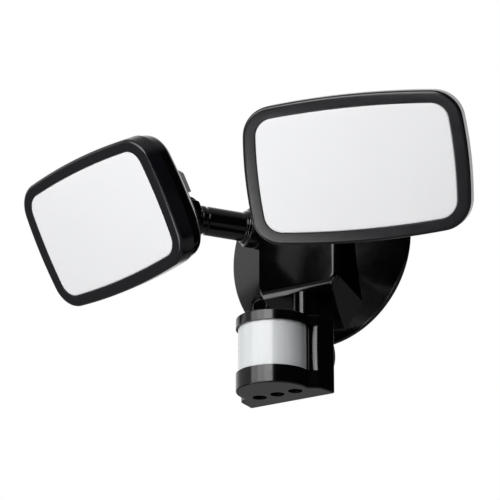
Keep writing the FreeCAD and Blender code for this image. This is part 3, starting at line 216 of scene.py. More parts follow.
def plug(material, source, target):
    material.node_tree.links.new(source, target)


def grain(material, scale, detail=3.0, stretch=(1.0, 1.0, 1.0)):
    """Noise over the object's own coordinates, with a size in millimetres."""
    where = add_node(material, "ShaderNodeTexCoord")
    mapping = add_node(material, "ShaderNodeMapping")
    mapping.inputs["Scale"].default_value = stretch
    noise = add_node(material, "ShaderNodeTexNoise", Scale=1000.0 / scale, Detail=detail, Roughness=0.55)
    plug(material, where.outputs["Object"], mapping.inputs["Vector"])
    plug(material, mapping.outputs[0], noise.inputs["Vector"])
    return noise.outputs["Fac"]


def remap(owner, value, source, target, kind="LINEAR"):
    """Maps a value from one range to another."""
    limits = {"From Min": source[0], "From Max": source[1], "To Min": target[0], "To Max": target[1]}
    node = add_node(owner, "ShaderNodeMapRange", interpolation_type=kind, **limits)
    plug(owner, value, node.inputs["Value"])
    return node.outputs[0]


def spread(material, value, low, high):
    """Maps the middle of a noise to a range."""
    return remap(material, value, (0.3, 0.7), (low, high))


def combined(owner, first, second, operation):
    """Joins two values by a sum, a product or the larger one."""
    node = add_node(owner, "ShaderNodeMath", operation=operation)
    plug(owner, first, node.inputs[0])
    plug(owner, second, node.inputs[1])
    return node.outputs[0]


def tint(material, value, dark, light):
    """Blends two colours by a noise."""
    node = add_node(material, "ShaderNodeMix", data_type="RGBA")
    node.inputs["A"].default_value = dark
    node.inputs["B"].default_value = light
    plug(material, value, node.inputs["Factor"])
    return node.outputs["Result"]


def relief(material, value, shader, depth_mm, strength=1.0):
    """Bump of a height in millimetres."""
    bump = add_node(material, "ShaderNodeBump", Strength=strength, Distance=depth_mm * MM)
    plug(material, value, bump.inputs["Height"])
    plug(material, bump.outputs[0], shader.inputs["Normal"])


def shade(name, factor):
    """A colour of the finishes made lighter or darker."""
    r, g, b, _ = paint(name)
    return (min(r * factor, 1), min(g * factor, 1), min(b * factor, 1), 1.0)


def plastic(name, source, rough, vary=0.03, bump=0.004, cell=1.4):
    """Moulded plastic: even colour with faint clouding, soft ripples and small changes of gloss."""
    material, shader = start_material(name)
    clouds = spread(material, grain(material, 18.0), 0.0, 1.0)
    gloss = spread(material, grain(material, 6.0), rough - vary, rough + vary)
    colours = tint(material, clouds, shade(source, 0.85), shade(source, 1.15))
    plug(material, colours, shader.inputs["Base Color"])
    plug(material, gloss, shader.inputs["Roughness"])
    relief(material, grain(material, cell), shader, bump)
    return material


def metal(name, source, rough, stretch=(1.0, 1.0, 1.0), cell=1.0):
    material, shader = start_material(name)
    shader.inputs["Metallic"].default_value = 1.0
    marks = grain(material, cell, 4.0, stretch)
    plug(material, tint(material, spread(material, marks, 0.0, 1.0), shade(source, 0.8), shade(source, 1.1)),
         shader.inputs["Base Color"])
    plug(material, spread(material, marks, rough - 0.08, rough + 0.1), shader.inputs["Roughness"])
    relief(material, marks, shader, 0.01)
    return material


def milky(name, source, rough, glow_depth, cloud=(30.0, 0.985), stretch=(1.0, 1.0, 1.0)):
    """Light-spreading plastic with light scattered under its skin, clouded or streaked along its height."""
    material, shader = start_material(name)
    size, dark = cloud
    clouds = spread(material, grain(material, size, 3.0, stretch), 0.0, 1.0)
    gloss = spread(material, grain(material, 4.0), rough - 0.03, rough + 0.03)
    colours = tint(material, clouds, shade(source, dark), shade(source, 1.0))
    plug(material, colours, shader.inputs["Base Color"])
    shader.inputs["Subsurface Weight"].default_value = 0.25
    shader.inputs["Subsurface Radius"].default_value = (1.0, 1.0, 1.0)
    shader.inputs["Subsurface Scale"].default_value = glow_depth * MM
    plug(material, gloss, shader.inputs["Roughness"])
    relief(material, grain(material, 0.6), shader, 0.002)
    return material


MATERIALS = {}


def finish(name):
    """The material of a finish, made once."""
    if name not in MATERIALS:
        MATERIALS[name] = {
            "black plastic": lambda: plastic("black plastic", "black", 0.14, 0.03),
            "satin black plastic": lambda: plastic("satin black plastic", "black", 0.34, 0.05, 0.012, 0.7),
            "smoked border": lambda: plastic("smoked border", "border", 0.2, 0.03, 0.003),
            "opal diffuser": lambda: milky("opal diffuser", "opal", 0.45, 2.0),
            "sensor lens": lambda: milky("sensor lens", "lens", 0.16, 1.0, (4.0, 0.94), (1.0, 1.0, 0.04)),
            "rubber": lambda: plastic("rubber", "rubber", 0.62, 0.08, 0.02, 0.5),
            "zinc plate": lambda: metal("zinc plate", "zinc", 0.32),
            "coated steel": lambda: plastic("coated steel", "coated_steel", 0.45, 0.06, 0.02, 0.4),
            "green board": lambda: plastic("green board", "board_green", 0.4, 0.08, 0.02, 2.0),
            "white board": lambda: plastic("white board", "board_white", 0.5, 0.05, 0.01, 1.0),
            "phosphor": lambda: plastic("phosphor", "phosphor", 0.45, 0.05, 0.01, 0.4),
            "nylon": lambda: plastic("nylon", "nylon", 0.5, 0.06, 0.01, 0.8),
            "brass": lambda: metal("brass", "brass", 0.3),
            "component": lambda: plastic("component", "component", 0.42, 0.06, 0.015, 0.8),
            "dial plastic": lambda: plastic("dial plastic", "dial", 0.2, 0.04, 0.004, 0.8),
        }[name]()
    return MATERIALS[name]


# Shaping

def lathe(profile, steps=72, angle=360.0):
    """Spins a profile of (radius, height) pairs about Z. A full turn gives a closed skin."""
    shape = bmesh.new()
    spots = [shape.verts.new((radius, 0, height)) for radius, height in profile]
    edges = [shape.edges.new(pair) for pair in zip(spots, spots[1:])]
    bmesh.ops.spin(shape, geom=spots + edges, cent=(0, 0, 0), axis=(0, 0, 1), angle=math.radians(angle),
                   steps=steps, use_merge=angle == 360.0)
    bmesh.ops.remove_doubles(shape, verts=shape.verts, dist=0.001)
    bmesh.ops.recalc_face_normals(shape, faces=shape.faces)
    return shape


def brick(low, high):
    """Box between two corners."""
    shape = bmesh.new()
    bmesh.ops.create_cube(shape, size=1.0)
    low, high = Vector(low), Vector(high)
    bmesh.ops.scale(shape, vec=high - low, verts=shape.verts)
    bmesh.ops.translate(shape, vec=(high + low) / 2, verts=shape.verts)
    return shape


def soften(shape, radius, wanted=None, segments=3, angle=28.0):
    """Rounds the sharp edges that the test picks."""
    shape.normal_update()
    edges = [edge for edge in shape.edges
             if len(edge.link_faces) == 2 and edge.calc_face_angle(0.0) > math.radians(angle)
             and (wanted is None or wanted(edge))]
    bmesh.ops.bevel(shape, geom=edges, offset=radius, offset_type="OFFSET", segments=segments, profile=0.5,
                    affect="EDGES", material=-1, clamp_overlap=True, loop_slide=True)
    bmesh.ops.recalc_face_normals(shape, faces=shape.faces)
    return shape


def lies_flat(edge):
    """Whether an edge lies across X."""
    return abs(edge.verts[0].co.x - edge.verts[1].co.x) < 0.1


def turned(shape, matrix):
    bmesh.ops.transform(shape, matrix=matrix, verts=shape.verts)
    return shape


def facing(at, direction):
    """Matrix that brings the Z axis to a direction, at a point."""
    return Matrix.Translation(Vector(at)) @ Vector(direction).to_track_quat("Z", "Y").to_matrix().to_4x4()


def swept(shape, spot, centre, axis, angle, steps):
    """Carries a vertex round a centre, leaving a chain of edges; gives the last vertex."""
    made = bmesh.ops.spin(shape, geom=[spot], cent=centre, axis=axis, angle=angle, steps=steps)
    return next(item for item in made["geom_last"] if isinstance(item, bmesh.types.BMVert))


def drawn(shape, spot, place):
    """Draws an edge from a vertex to a place; gives the new vertex."""
    new = shape.verts.new(place)
    shape.edges.new((spot, new))
    return new


def bowed_ring(shape, outline, depth):
    """Ring of edges like a rectangle with bowed sides and round corners, at a depth behind the face."""
    width, height, corner, bow_long, bow_short = outline
    half_x, half_z = width / 2, height / 2
    big_long = ((half_x - corner) ** 2 + bow_long ** 2) / (2 * bow_long)
    big_short = ((half_z - corner) ** 2 + bow_short ** 2) / (2 * bow_short)
    below, beside = Vector((0, half_z - big_long)), Vector((half_x - big_short, 0))
    meets = intersect_sphere_sphere_2d(below, big_long - corner, beside, big_short - corner)
    tip = max(meets, key=lambda p: p.x + p.y)
    lean_long = math.atan2(tip.x - below.x, tip.y - below.y)
    lean_short = math.atan2(tip.y - beside.y, tip.x - beside.x)
    bend = math.pi / 2 - lean_long - lean_short
    y = depth - mm("face_reach")
    rise = mm("face_rise")
    x, z = -big_long * math.sin(lean_long), below.y + big_long * math.cos(lean_long)
    first = spot = shape.verts.new((x, y, z + rise))
    other = Vector((tip.x, -tip.y))
    for centre, angle, steps in ((below, 2 * lean_long, 14), (tip, bend, 12),
                                 (beside, 2 * lean_short, 10), (other, bend, 12),
                                 (-below, 2 * lean_long, 14), (-tip, bend, 12),
                                 (-beside, 2 * lean_short, 10), (-other, bend, 12)):
        spot = swept(shape, spot, (centre[0], y, centre[1] + rise), (0, 1, 0), angle, steps)
    bmesh.ops.pointmerge(shape, verts=[first, spot], merge_co=first.co)
    return first


def extruded(shape, step):
    """Fills a closed chain of edges and draws the face out to a prism."""
    face = bmesh.ops.contextual_create(shape, geom=shape.edges)["faces"][0]
    made = bmesh.ops.extrude_face_region(shape, geom=[face])["geom"]
    far = [item for item in made if isinstance(item, bmesh.types.BMVert)]
    bmesh.ops.translate(shape, vec=step, verts=far)
    bmesh.ops.recalc_face_normals(shape, faces=shape.faces)
    return shape


def ring_edges(first):
    """The edges of the ring that a vertex lies in, before anything is bridged to it."""
    edges, spot, edge = [], first, first.link_edges[0]
    while edge not in edges:
        edges.append(edge)
        spot = edge.other_vert(spot)
        edge = next(item for item in spot.link_edges if item is not edge)
    return edges


def head_outline(grow=0.0, corner=0.0):
    """Width, height, corner and bows of a lamp head, grown all round."""
    return (mm("head_width") + 2 * grow, mm("head_height") + 2 * grow, mm("head_corner") + grow + corner,
            *HEAD_BOWS)


def window_outline(grow=0.0):
    """Width, height, corner and bows of the diffuser's opening, grown all round."""
    width = mm("head_width") - 2 * mm("border_side")
    height = mm("head_height") - 2 * mm("border_top")
    return (width + 2 * grow, height + 2 * grow, WINDOW_CORNER + grow, *WINDOW_BOWS)


def stacked(sections, closed=False):
    """Skin through bowed rings at given depths; closed joins the last to the first, else it has two caps."""
    shape = bmesh.new()
    rings = [ring_edges(bowed_ring(shape, outline, depth)) for outline, depth in sections]
    for near, far in zip(rings, rings[1:]):
        bmesh.ops.bridge_loops(shape, edges=near + far)
    if closed:
        bmesh.ops.bridge_loops(shape, edges=rings[-1] + rings[0])
    else:
        bmesh.ops.contextual_create(shape, geom=rings[0])
        bmesh.ops.contextual_create(shape, geom=rings[-1])
    bmesh.ops.recalc_face_normals(shape, faces=shape.faces)
    return shape


def joined(*shapes):
    """One mesh from several, which are used up."""
    whole = bmesh.new()
    for shape in shapes:
        mesh = bpy.data.meshes.new("part")
        shape.to_mesh(mesh)
        shape.free()
        whole.from_mesh(mesh)
        bpy.data.meshes.remove(mesh)
    return whole


def carved(shape, tool, kind="DIFFERENCE"):
    """Cuts one closed mesh with another, or joins them; both are used up."""
    pair = []
    for name, mesh_shape in (("blank", shape), ("tool", tool)):
        mesh = bpy.data.meshes.new(name)
        mesh_shape.to_mesh(mesh)
        mesh_shape.free()
        item = bpy.data.objects.new(name, mesh)
        bpy.context.collection.objects.link(item)
        pair.append(item)
    blank, cutter = pair
    modifier = blank.modifiers.new("carve", "BOOLEAN")
    modifier.operation = kind
    modifier.object = cutter
    modifier.solver = "EXACT"
    modifier.use_self = True
    bpy.context.view_layer.update()
    result = bmesh.new()
    mesh = bpy.data.meshes.new_from_object(blank.evaluated_get(bpy.context.evaluated_depsgraph_get()))
    result.from_mesh(mesh)
    for item in pair:
        old = item.data
        bpy.data.objects.remove(item)
        bpy.data.meshes.remove(old)
    bpy.data.meshes.remove(mesh)
    bmesh.ops.remove_doubles(result, verts=result.verts, dist=0.0005)
    bmesh.ops.dissolve_degenerate(result, edges=result.edges, dist=0.0005)
    return result


def piece(name, shape, body, material, nodes, place=None, sharp=32.0):
    """Makes a finished mesh an object that rides on a body and stands in for its CAD nodes, which it hides.
    """
    if not shape.faces:
        raise RuntimeError("nothing was made for " + name)
    bmesh.ops.transform(shape, matrix=(place or Matrix()) @ Matrix.Scale(MM, 4), verts=shape.verts)
    mesh = bpy.data.meshes.new(name)
    shape.to_mesh(mesh)
    shape.free()
    mesh.shade_smooth()
    mesh.set_sharp_from_angle(angle=math.radians(sharp))
    mesh.materials.append(finish(material))
    item = bpy.data.objects.new(name, mesh)
    bpy.context.collection.objects.link(item)
    even = item.modifiers.new("even shading", "WEIGHTED_NORMAL")
    even.keep_sharp = True
    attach(item, body)
    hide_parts(*nodes)
    return item


def dress(node, material):
    """Gives a CAD node its finish."""
    item = frame["nodes"][node]
    item.data.materials.clear()
    item.data.materials.append(finish(material))


def head_place(side):
    """Place of a lamp head, from its joint and its tilt in the photographed pose."""
    tilt = joint(side + "_head_tilt")
    across = Vector(tilt["axis"])
    lean = math.radians(HEAD_LEAN[side])
    level = Matrix((across, Vector((-across.y, across.x, 0)), (0, 0, 1))).transposed().to_4x4()
    return Matrix.Translation(Vector(tilt["pos_m"])) @ level @ Matrix.Rotation(lean, 4, "X")


def arm_place(side):
    """Place of an arm: origin at its root, Z along it."""
    swivel = joint(side + "_arm_swivel")
    return facing(swivel["pos_m"], swivel["axis"])


def sensor_place():
    """Turns a shape about the stem as the sensor is turned in the photographed pose."""
    axis = Vector(joint("sensor_tilt")["axis"])
    stem = Vector(joint("sensor_pan")["pos_m"])
    stem.z = 0.0
    turn = Matrix.Rotation(math.atan2(axis.y, axis.x), 4, "Z")
    return Matrix.Translation(stem) @ turn @ Matrix.Translation(-stem)


def screw_places():
    """Places of the two cover screws, with Z away from the wall."""
    spots = [(SCREW_REACH * math.cos(angle), 0, SCREW_REACH * math.sin(angle)) for angle in SCREW_ANGLES]
    return [Matrix.Translation(spot) @ Matrix.Rotation(math.pi / 2, 4, "X") for spot in spots]


# Pieces

class LIGHT_OT_heads(bpy.types.Operator):
    """Bezels, diffusers and rear housings of the two lamp heads"""
    bl_idname = "light.heads"
    bl_label = "Lamp heads"

    def execute(self, context):
        for side in SIDES:
            place = head_place(side)
            body = side + "_head_body"
            piece(side + "_bezel_frame", self.bezel(), body, "smoked border",
                  [side + "_bezel"], place)
            piece(side + "_opal_window", self.window(), body, "opal diffuser",
                  [side + "_diffuser"], place)
            piece(side + "_rear_housing", self.housing(), body, "black plastic",
                  [side + "_head_housing"], place)
        return {"FINISHED"}

    def bezel(self):
        """Front frame: a flat border with a rounded outer edge and a soft inner edge at the diffuser."""
        r = BEZEL_ROUND
        rounding = [(head_outline(r * (math.cos(turn) - 1)), r * (1 - math.sin(turn)))
                    for turn in map(math.radians, range(0, 91, 15))]
        inside = [(window_outline(0.5), 0.0), (window_outline(0.15), 0.12), (window_outline(0.0), 0.4),
                  (window_outline(0.0), 3.0), (head_outline(-2.6), 3.0), (head_outline(-2.6), BEZEL_BACK)]
        return stacked([(head_outline(), BEZEL_BACK)] + rounding + inside, closed=True)

    def window(self):
        """Opal plate with a soft edge, a little behind the border."""
        edge = ((-3.0, 0.3), (-0.9, 0.32), (-0.5, 0.4), (-0.22, 0.6), (-0.12, 0.9), (-0.12, 4.0))
        return stacked([(window_outline(grow), depth) for grow, depth in edge])

    def housing(self):
        """Rear shell with a rounded shoulder, its pod and the fork that holds the arm."""
        shoulder = ((-0.3, 0, 11.1), (-0.4, 0, 11.6), (-1.6, 0, 17.2), (-2.3, 0, 18.9), (-3.6, 0.6, 20.6),
                    (-5.4, 1.2, 22.4), (-7.0, 1.8, 23.8), (-8.4, 2.4, 24.7), (-10.0, 3.0, 25.0))
        shell = stacked([(head_outline(grow, corner), depth) for grow, corner, depth in shoulder])
        pod = brick((-POD_FOOT_HALF, -37, -15), (POD_FOOT_HALF, -POD_BACK, 35.5))
        for spot in pod.verts:
            if spot.co.y > -20:
                spot.co.x *= POD_TIP_HALF / POD_FOOT_HALF
                spot.co.z = -12 if spot.co.z < 0 else 22.6
        soften(pod, 2.5, lambda edge: max(v.co.y for v in edge.verts) > -20, 5)
        pod = carved(pod, brick((-CHEEK_IN, -POD_FLOOR, -30), (CHEEK_IN, 0, 40)))
        pod = carved(pod, brick((-40, -POD_FLOOR, -30), (40, 0, POD_SHOULDER)))
        cheeks = [self.cheek(start) for start in (-CHEEK_IN - CHEEK_THICK, CHEEK_IN)]
        return joined(shell, pod, *cheeks)

    def cheek(self, start):
        """One side of the fork, with a scoop from its round end up to the pod."""
        shape = bmesh.new()
        first = shape.verts.new((start, -14.5, -9.8))
        spot = drawn(shape, first, (start, 0, -8.6))
        spot = swept(shape, spot, (start, 0, 0), (1, 0, 0), math.pi, 20)
        spot = swept(shape, spot, (start, 0, 16.7), (1, 0, 0), -math.radians(96), 10)
        last = drawn(shape, spot, (start, -14.5, spot.co.z))
        shape.edges.new((last, first))
        return soften(extruded(shape, (CHEEK_THICK, 0, 0)), 0.9, lies_flat)


class LIGHT_OT_tilt_bolts(bpy.types.Operator):
    """Bolts and nuts of the two lamp heads"""
    bl_idname = "light.tilt_bolts"
    bl_label = "Tilt bolts"

    def execute(self, context):
        across = Matrix.Rotation(math.pi / 2, 4, "Y")
        for side in SIDES:
            place = head_place(side)
            shank = soften(lathe([(0, -15.3), (3, -15.3), (3, 15.3), (0, 15.3)], 32), 0.2)
            collar = soften(lathe([(0, 15.2), (5.6, 15.2), (5.6, 16.3), (0, 16.3)], 48), 0.35)
            cap = soften(lathe([(0, 16.2), (5.5, 16.2), (5.5, 20.2), (0, 20.2)], 6), 0.8, None, 4)
            bolt = turned(joined(shank, collar, cap), across)
            piece(side + "_bolt", bolt, side + "_head_body", "black plastic",
                  [side + "_tilt_bolt"], place)
            nut = turned(soften(lathe([(0, -18.9), (5.4, -18.9), (5.4, -15.2), (0, -15.2)], 6), 0.5), across)
            piece(side + "_nut", nut, side + "_head_body", "satin black plastic",
                  [side + "_tilt_nut"], place)
        return {"FINISHED"}


class LIGHT_OT_arms(bpy.types.Operator):
    """Arms and their lock rings"""
    bl_idname = "light.arms"
    bl_label = "Arms and lock rings"

    def execute(self, context):
        for side in SIDES:
            root, pivot = joint(side + "_arm_swivel"), joint(side + "_head_tilt")
            reach = (Vector(pivot["pos_m"]) - Vector(root["pos_m"])).length / MM
            r = mm("arm_radius")
            tube = lathe([(0, -5.7), (11, -5.7), (11, -3.2), (r, -3.2), (r, reach - 19.3),
                          (r - 0.9, reach - 19.3), (r - 0.9, reach - 17.5), (r, reach - 17.5),
                          (r, reach - 14.5), (6, reach - 14.5), (6, reach), (0, reach)])
            soften(tube, 0.35, lambda edge: abs(edge.verts[0].co.z - reach + 18.4) < 1.0)
            soften(tube, 1.1, lambda edge: abs(edge.verts[0].co.z - reach + 14.5) < 0.01
                   and edge.verts[0].co.xy.length > r - 0.1)
            place = arm_place(side)
            eye = soften(lathe([(0, -10), (9, -10), (9, 10), (0, 10)]), 1.0)
            into_arm = place.inverted() @ facing(pivot["pos_m"], pivot["axis"])
            into_arm.translation = into_arm.translation / MM
            arm = joined(tube, turned(eye, into_arm))
            piece(side + "_arm_tube", arm, side + "_arm_body", "black plastic",
                  [side + "_arm"], place)
            bore = r + 0.05
            ring = lathe([(bore, 5.2), (12.2, 5.2), (12.2, 11.6), (10.2, 11.9), (10.2, 14.0), (bore, 14.0),
                          (bore, 5.2)])
            soften(ring, 0.8, lambda edge: edge.verts[0].co.xy.length > r + 0.5)
            piece(side + "_collar", ring, "base", "black plastic",
                  [side + "_lock_ring"], place)
        return {"FINISHED"}


class LIGHT_OT_base(bpy.types.Operator):
    """Round base with its turret, arm sockets and screw recesses"""
    bl_idname = "light.base"
    bl_label = "Base cover"

    def execute(self, context):
        body = carved(self.disc(), self.turret(), "UNION")
        for side in SIDES:
            body = self.with_socket(body, joint(side + "_arm_swivel"))
        pocket = lathe([(0, -STEM_TOP), (7.9, -STEM_TOP), (7.9, -70), (0, -70)], 64)
        body = carved(body, turned(pocket, Matrix.Translation((0, -STEM_SET_OUT, 0))))
        for place in screw_places():
            well = lathe([(0, 5.4), (5.75, 5.4), (5.75, 8.2), (7.0, 8.2), (7.3, 8.5), (7.4, 9.2), (7.4, 20),
                          (0, 20)], 56)
            body = carved(body, turned(well, place))
        piece("base_shell", body, "base", "black plastic", ["base_cover"], sharp=24.0)
        return {"FINISHED"}

    def disc(self):
        """Low dome with a rim."""
        radius, depth, seat = mm("disc_radius"), mm("disc_depth"), mm("disc_back")
        shape = lathe([(0, 1.6), (seat, 1.6), (radius, 4.2), (radius, 6.2), (28, depth), (0, depth)], 160)
        soften(shape, 1.5, lambda edge: edge.verts[0].co.xy.length > radius - 0.1 and edge.verts[0].co.z > 5,
               6, 20)
        soften(shape, 0.5, lambda edge: edge.verts[0].co.z < 5, 2)
        return turned(shape, Matrix.Rotation(math.pi / 2, 4, "X"))

    def with_socket(self, body, swivel):
        """Adds the socket of an arm, with its bore and the room for the lock ring."""
        place = facing(Vector(swivel["pos_m"]) / MM, swivel["axis"])
        socket = soften(lathe([(0, -9), (12.5, -9), (12.5, 5), (0, 5)]), 1.0,
                        lambda edge: edge.verts[0].co.z > 4)
        bore = lathe([(0, -3.1), (9.4, -3.1), (9.4, 30), (0, 30)])
        room = lathe([(0, 5.1), (12.6, 5.1), (12.6, 17), (0, 17)])
        body = carved(body, turned(socket, place), "UNION")
        return carved(carved(body, turned(bore, place)), turned(room, place))

    def turret(self):
        """Six-sided boss that leans in towards its front, with rounded front edges."""
        shape = bmesh.new()
        front, half = -mm("turret_front"), mm("turret_half")
        outline = ((-half, 34), (half, 34), (half, -28.8), (half - 4.5, -33.5),
                   (1.5 - half, -33.5), (-half, -31))
        foot = ((-32.5, 38), (32.5, 38), (32.5, -43), (19, -57.5), (-19, -57.5), (-32.5, -35))
        face = shape.faces.new([shape.verts.new((x, front, z)) for x, z in outline])
        near = list(face.verts)
        made = bmesh.ops.extrude_face_region(shape, geom=[face])["geom"]
        far = [item for item in made if isinstance(item, bmesh.types.BMVert)]
        for spot in far:
            x, z = foot[min(range(6), key=lambda i: (near[i].co - spot.co).length)]
            spot.co = (x, TURRET_FOOT, z)
        bmesh.ops.recalc_face_normals(shape, faces=shape.faces)
        soften(shape, TURRET_ROUND, lambda edge: max(v.co.y for v in edge.verts) < front + 0.1
               and max(v.co.x for v in edge.verts) > -half + 0.1, 6, 10)
        return soften(shape, 1.6, lambda edge: min(v.co.y for v in edge.verts) < front + 8
                      and max(v.co.y for v in edge.verts) > -10 and edge.verts[0].co.x > 0, 4, 15)


class LIGHT_OT_plugs(bpy.types.Operator):
    """Dished plugs over the cover screws"""
    bl_idname = "light.plugs"
    bl_label = "Screw plugs"

    def execute(self, context):
        plugs = []
        for place in screw_places():
            plug_shape = lathe([(0, 7.45), (5.55, 7.45), (5.55, 9.6), (4.5, 9.6), (4.3, 8.8), (0, 8.8)], 48)
            soften(plug_shape, 0.5, lambda edge: edge.verts[0].co.z > 9.4 and edge.verts[1].co.z > 9.4)
            plugs.append(turned(plug_shape, place))
        piece("plugs", joined(*plugs), "base", "black plastic", ["screw_plugs"])
        return {"FINISHED"}


class LIGHT_OT_stem(bpy.types.Operator):
    """Stem that carries the sensor"""
    bl_idname = "light.stem"
    bl_label = "Sensor stem"

    def execute(self, context):
        r = mm("stem_radius")
        rod = lathe([(0, -18.5), (3.6, -18.5), (3.6, -STEM_TOP), (r, -STEM_TOP), (r, -76), (0, -76)], 64)
        soften(rod, 0.5, lambda edge: abs(edge.verts[0].co.z + STEM_TOP) < 0.1
               and edge.verts[0].co.xy.length > r - 0.1)
        knuckle = soften(lathe([(0, -7), (8.5, -7), (8.5, 7), (0, 7)], 64), 0.9)
        turned(knuckle, Matrix.Translation((0, 0, -PIN_DROP)) @ Matrix.Rotation(math.pi / 2, 4, "Y"))
        shape = turned(joined(rod, knuckle), Matrix.Translation((0, -STEM_SET_OUT, 0)))
        piece("stem", shape, "stem_body", "black plastic", ["sensor_stem"], sensor_place())
        return {"FINISHED"}


def sensor_prism():
    """Prism with the sensor's plan: round nose, flaring flanks and a rear with rounded corners."""
    shape = bmesh.new()
    r, nose, back, half = mm("sensor_radius"), -mm("sensor_nose"), -mm("sensor_back"), mm("sensor_half")
    bottom, top = -mm("sensor_bottom"), -mm("sensor_top")
    first = shape.verts.new((0, nose - r, bottom))
    spot = swept(shape, first, (0, nose, bottom), (0, 0, 1), math.radians(95.5), 34)
    for k in range(2, 13):
        t = k / 12
        ease = t * t * (3 - 2 * t)
        spot = drawn(shape, spot, (r - 0.6 + (half - 1.3 - r + 0.6) * ease, nose + 1.2 + 7.7 * t, bottom))
    spot = drawn(shape, spot, (half, back - 1.2, bottom))
    spot = swept(shape, spot, (half - 1.2, back - 1.2, bottom), (0, 0, 1), math.pi / 2, 5)
    drawn(shape, spot, (0, back, bottom))
    bmesh.ops.mirror(shape, geom=shape.verts[:] + shape.edges[:], merge_dist=0.001, axis="X")
    extruded(shape, (0, 0, top - bottom))
    return soften(shape, 1.2, lambda edge: abs(edge.verts[0].co.z - edge.verts[1].co.z) < 0.01, 4, 60)


def parted(shape, at, keep):
    """Cuts a closed mesh at a plane across Y, closes the cut and keeps its front or its rear."""
    geom = shape.verts[:] + shape.edges[:] + shape.faces[:]
    made = bmesh.ops.bisect_plane(shape, geom=geom, plane_co=(0, at, 0), plane_no=(0, 1, 0),
                                  clear_outer=keep == "front", clear_inner=keep == "rear")
    edges = [item for item in made["geom_cut"] if isinstance(item, bmesh.types.BMEdge)]
    bmesh.ops.contextual_create(shape, geom=edges)
    bmesh.ops.recalc_face_normals(shape, faces=shape.faces)
    return shape


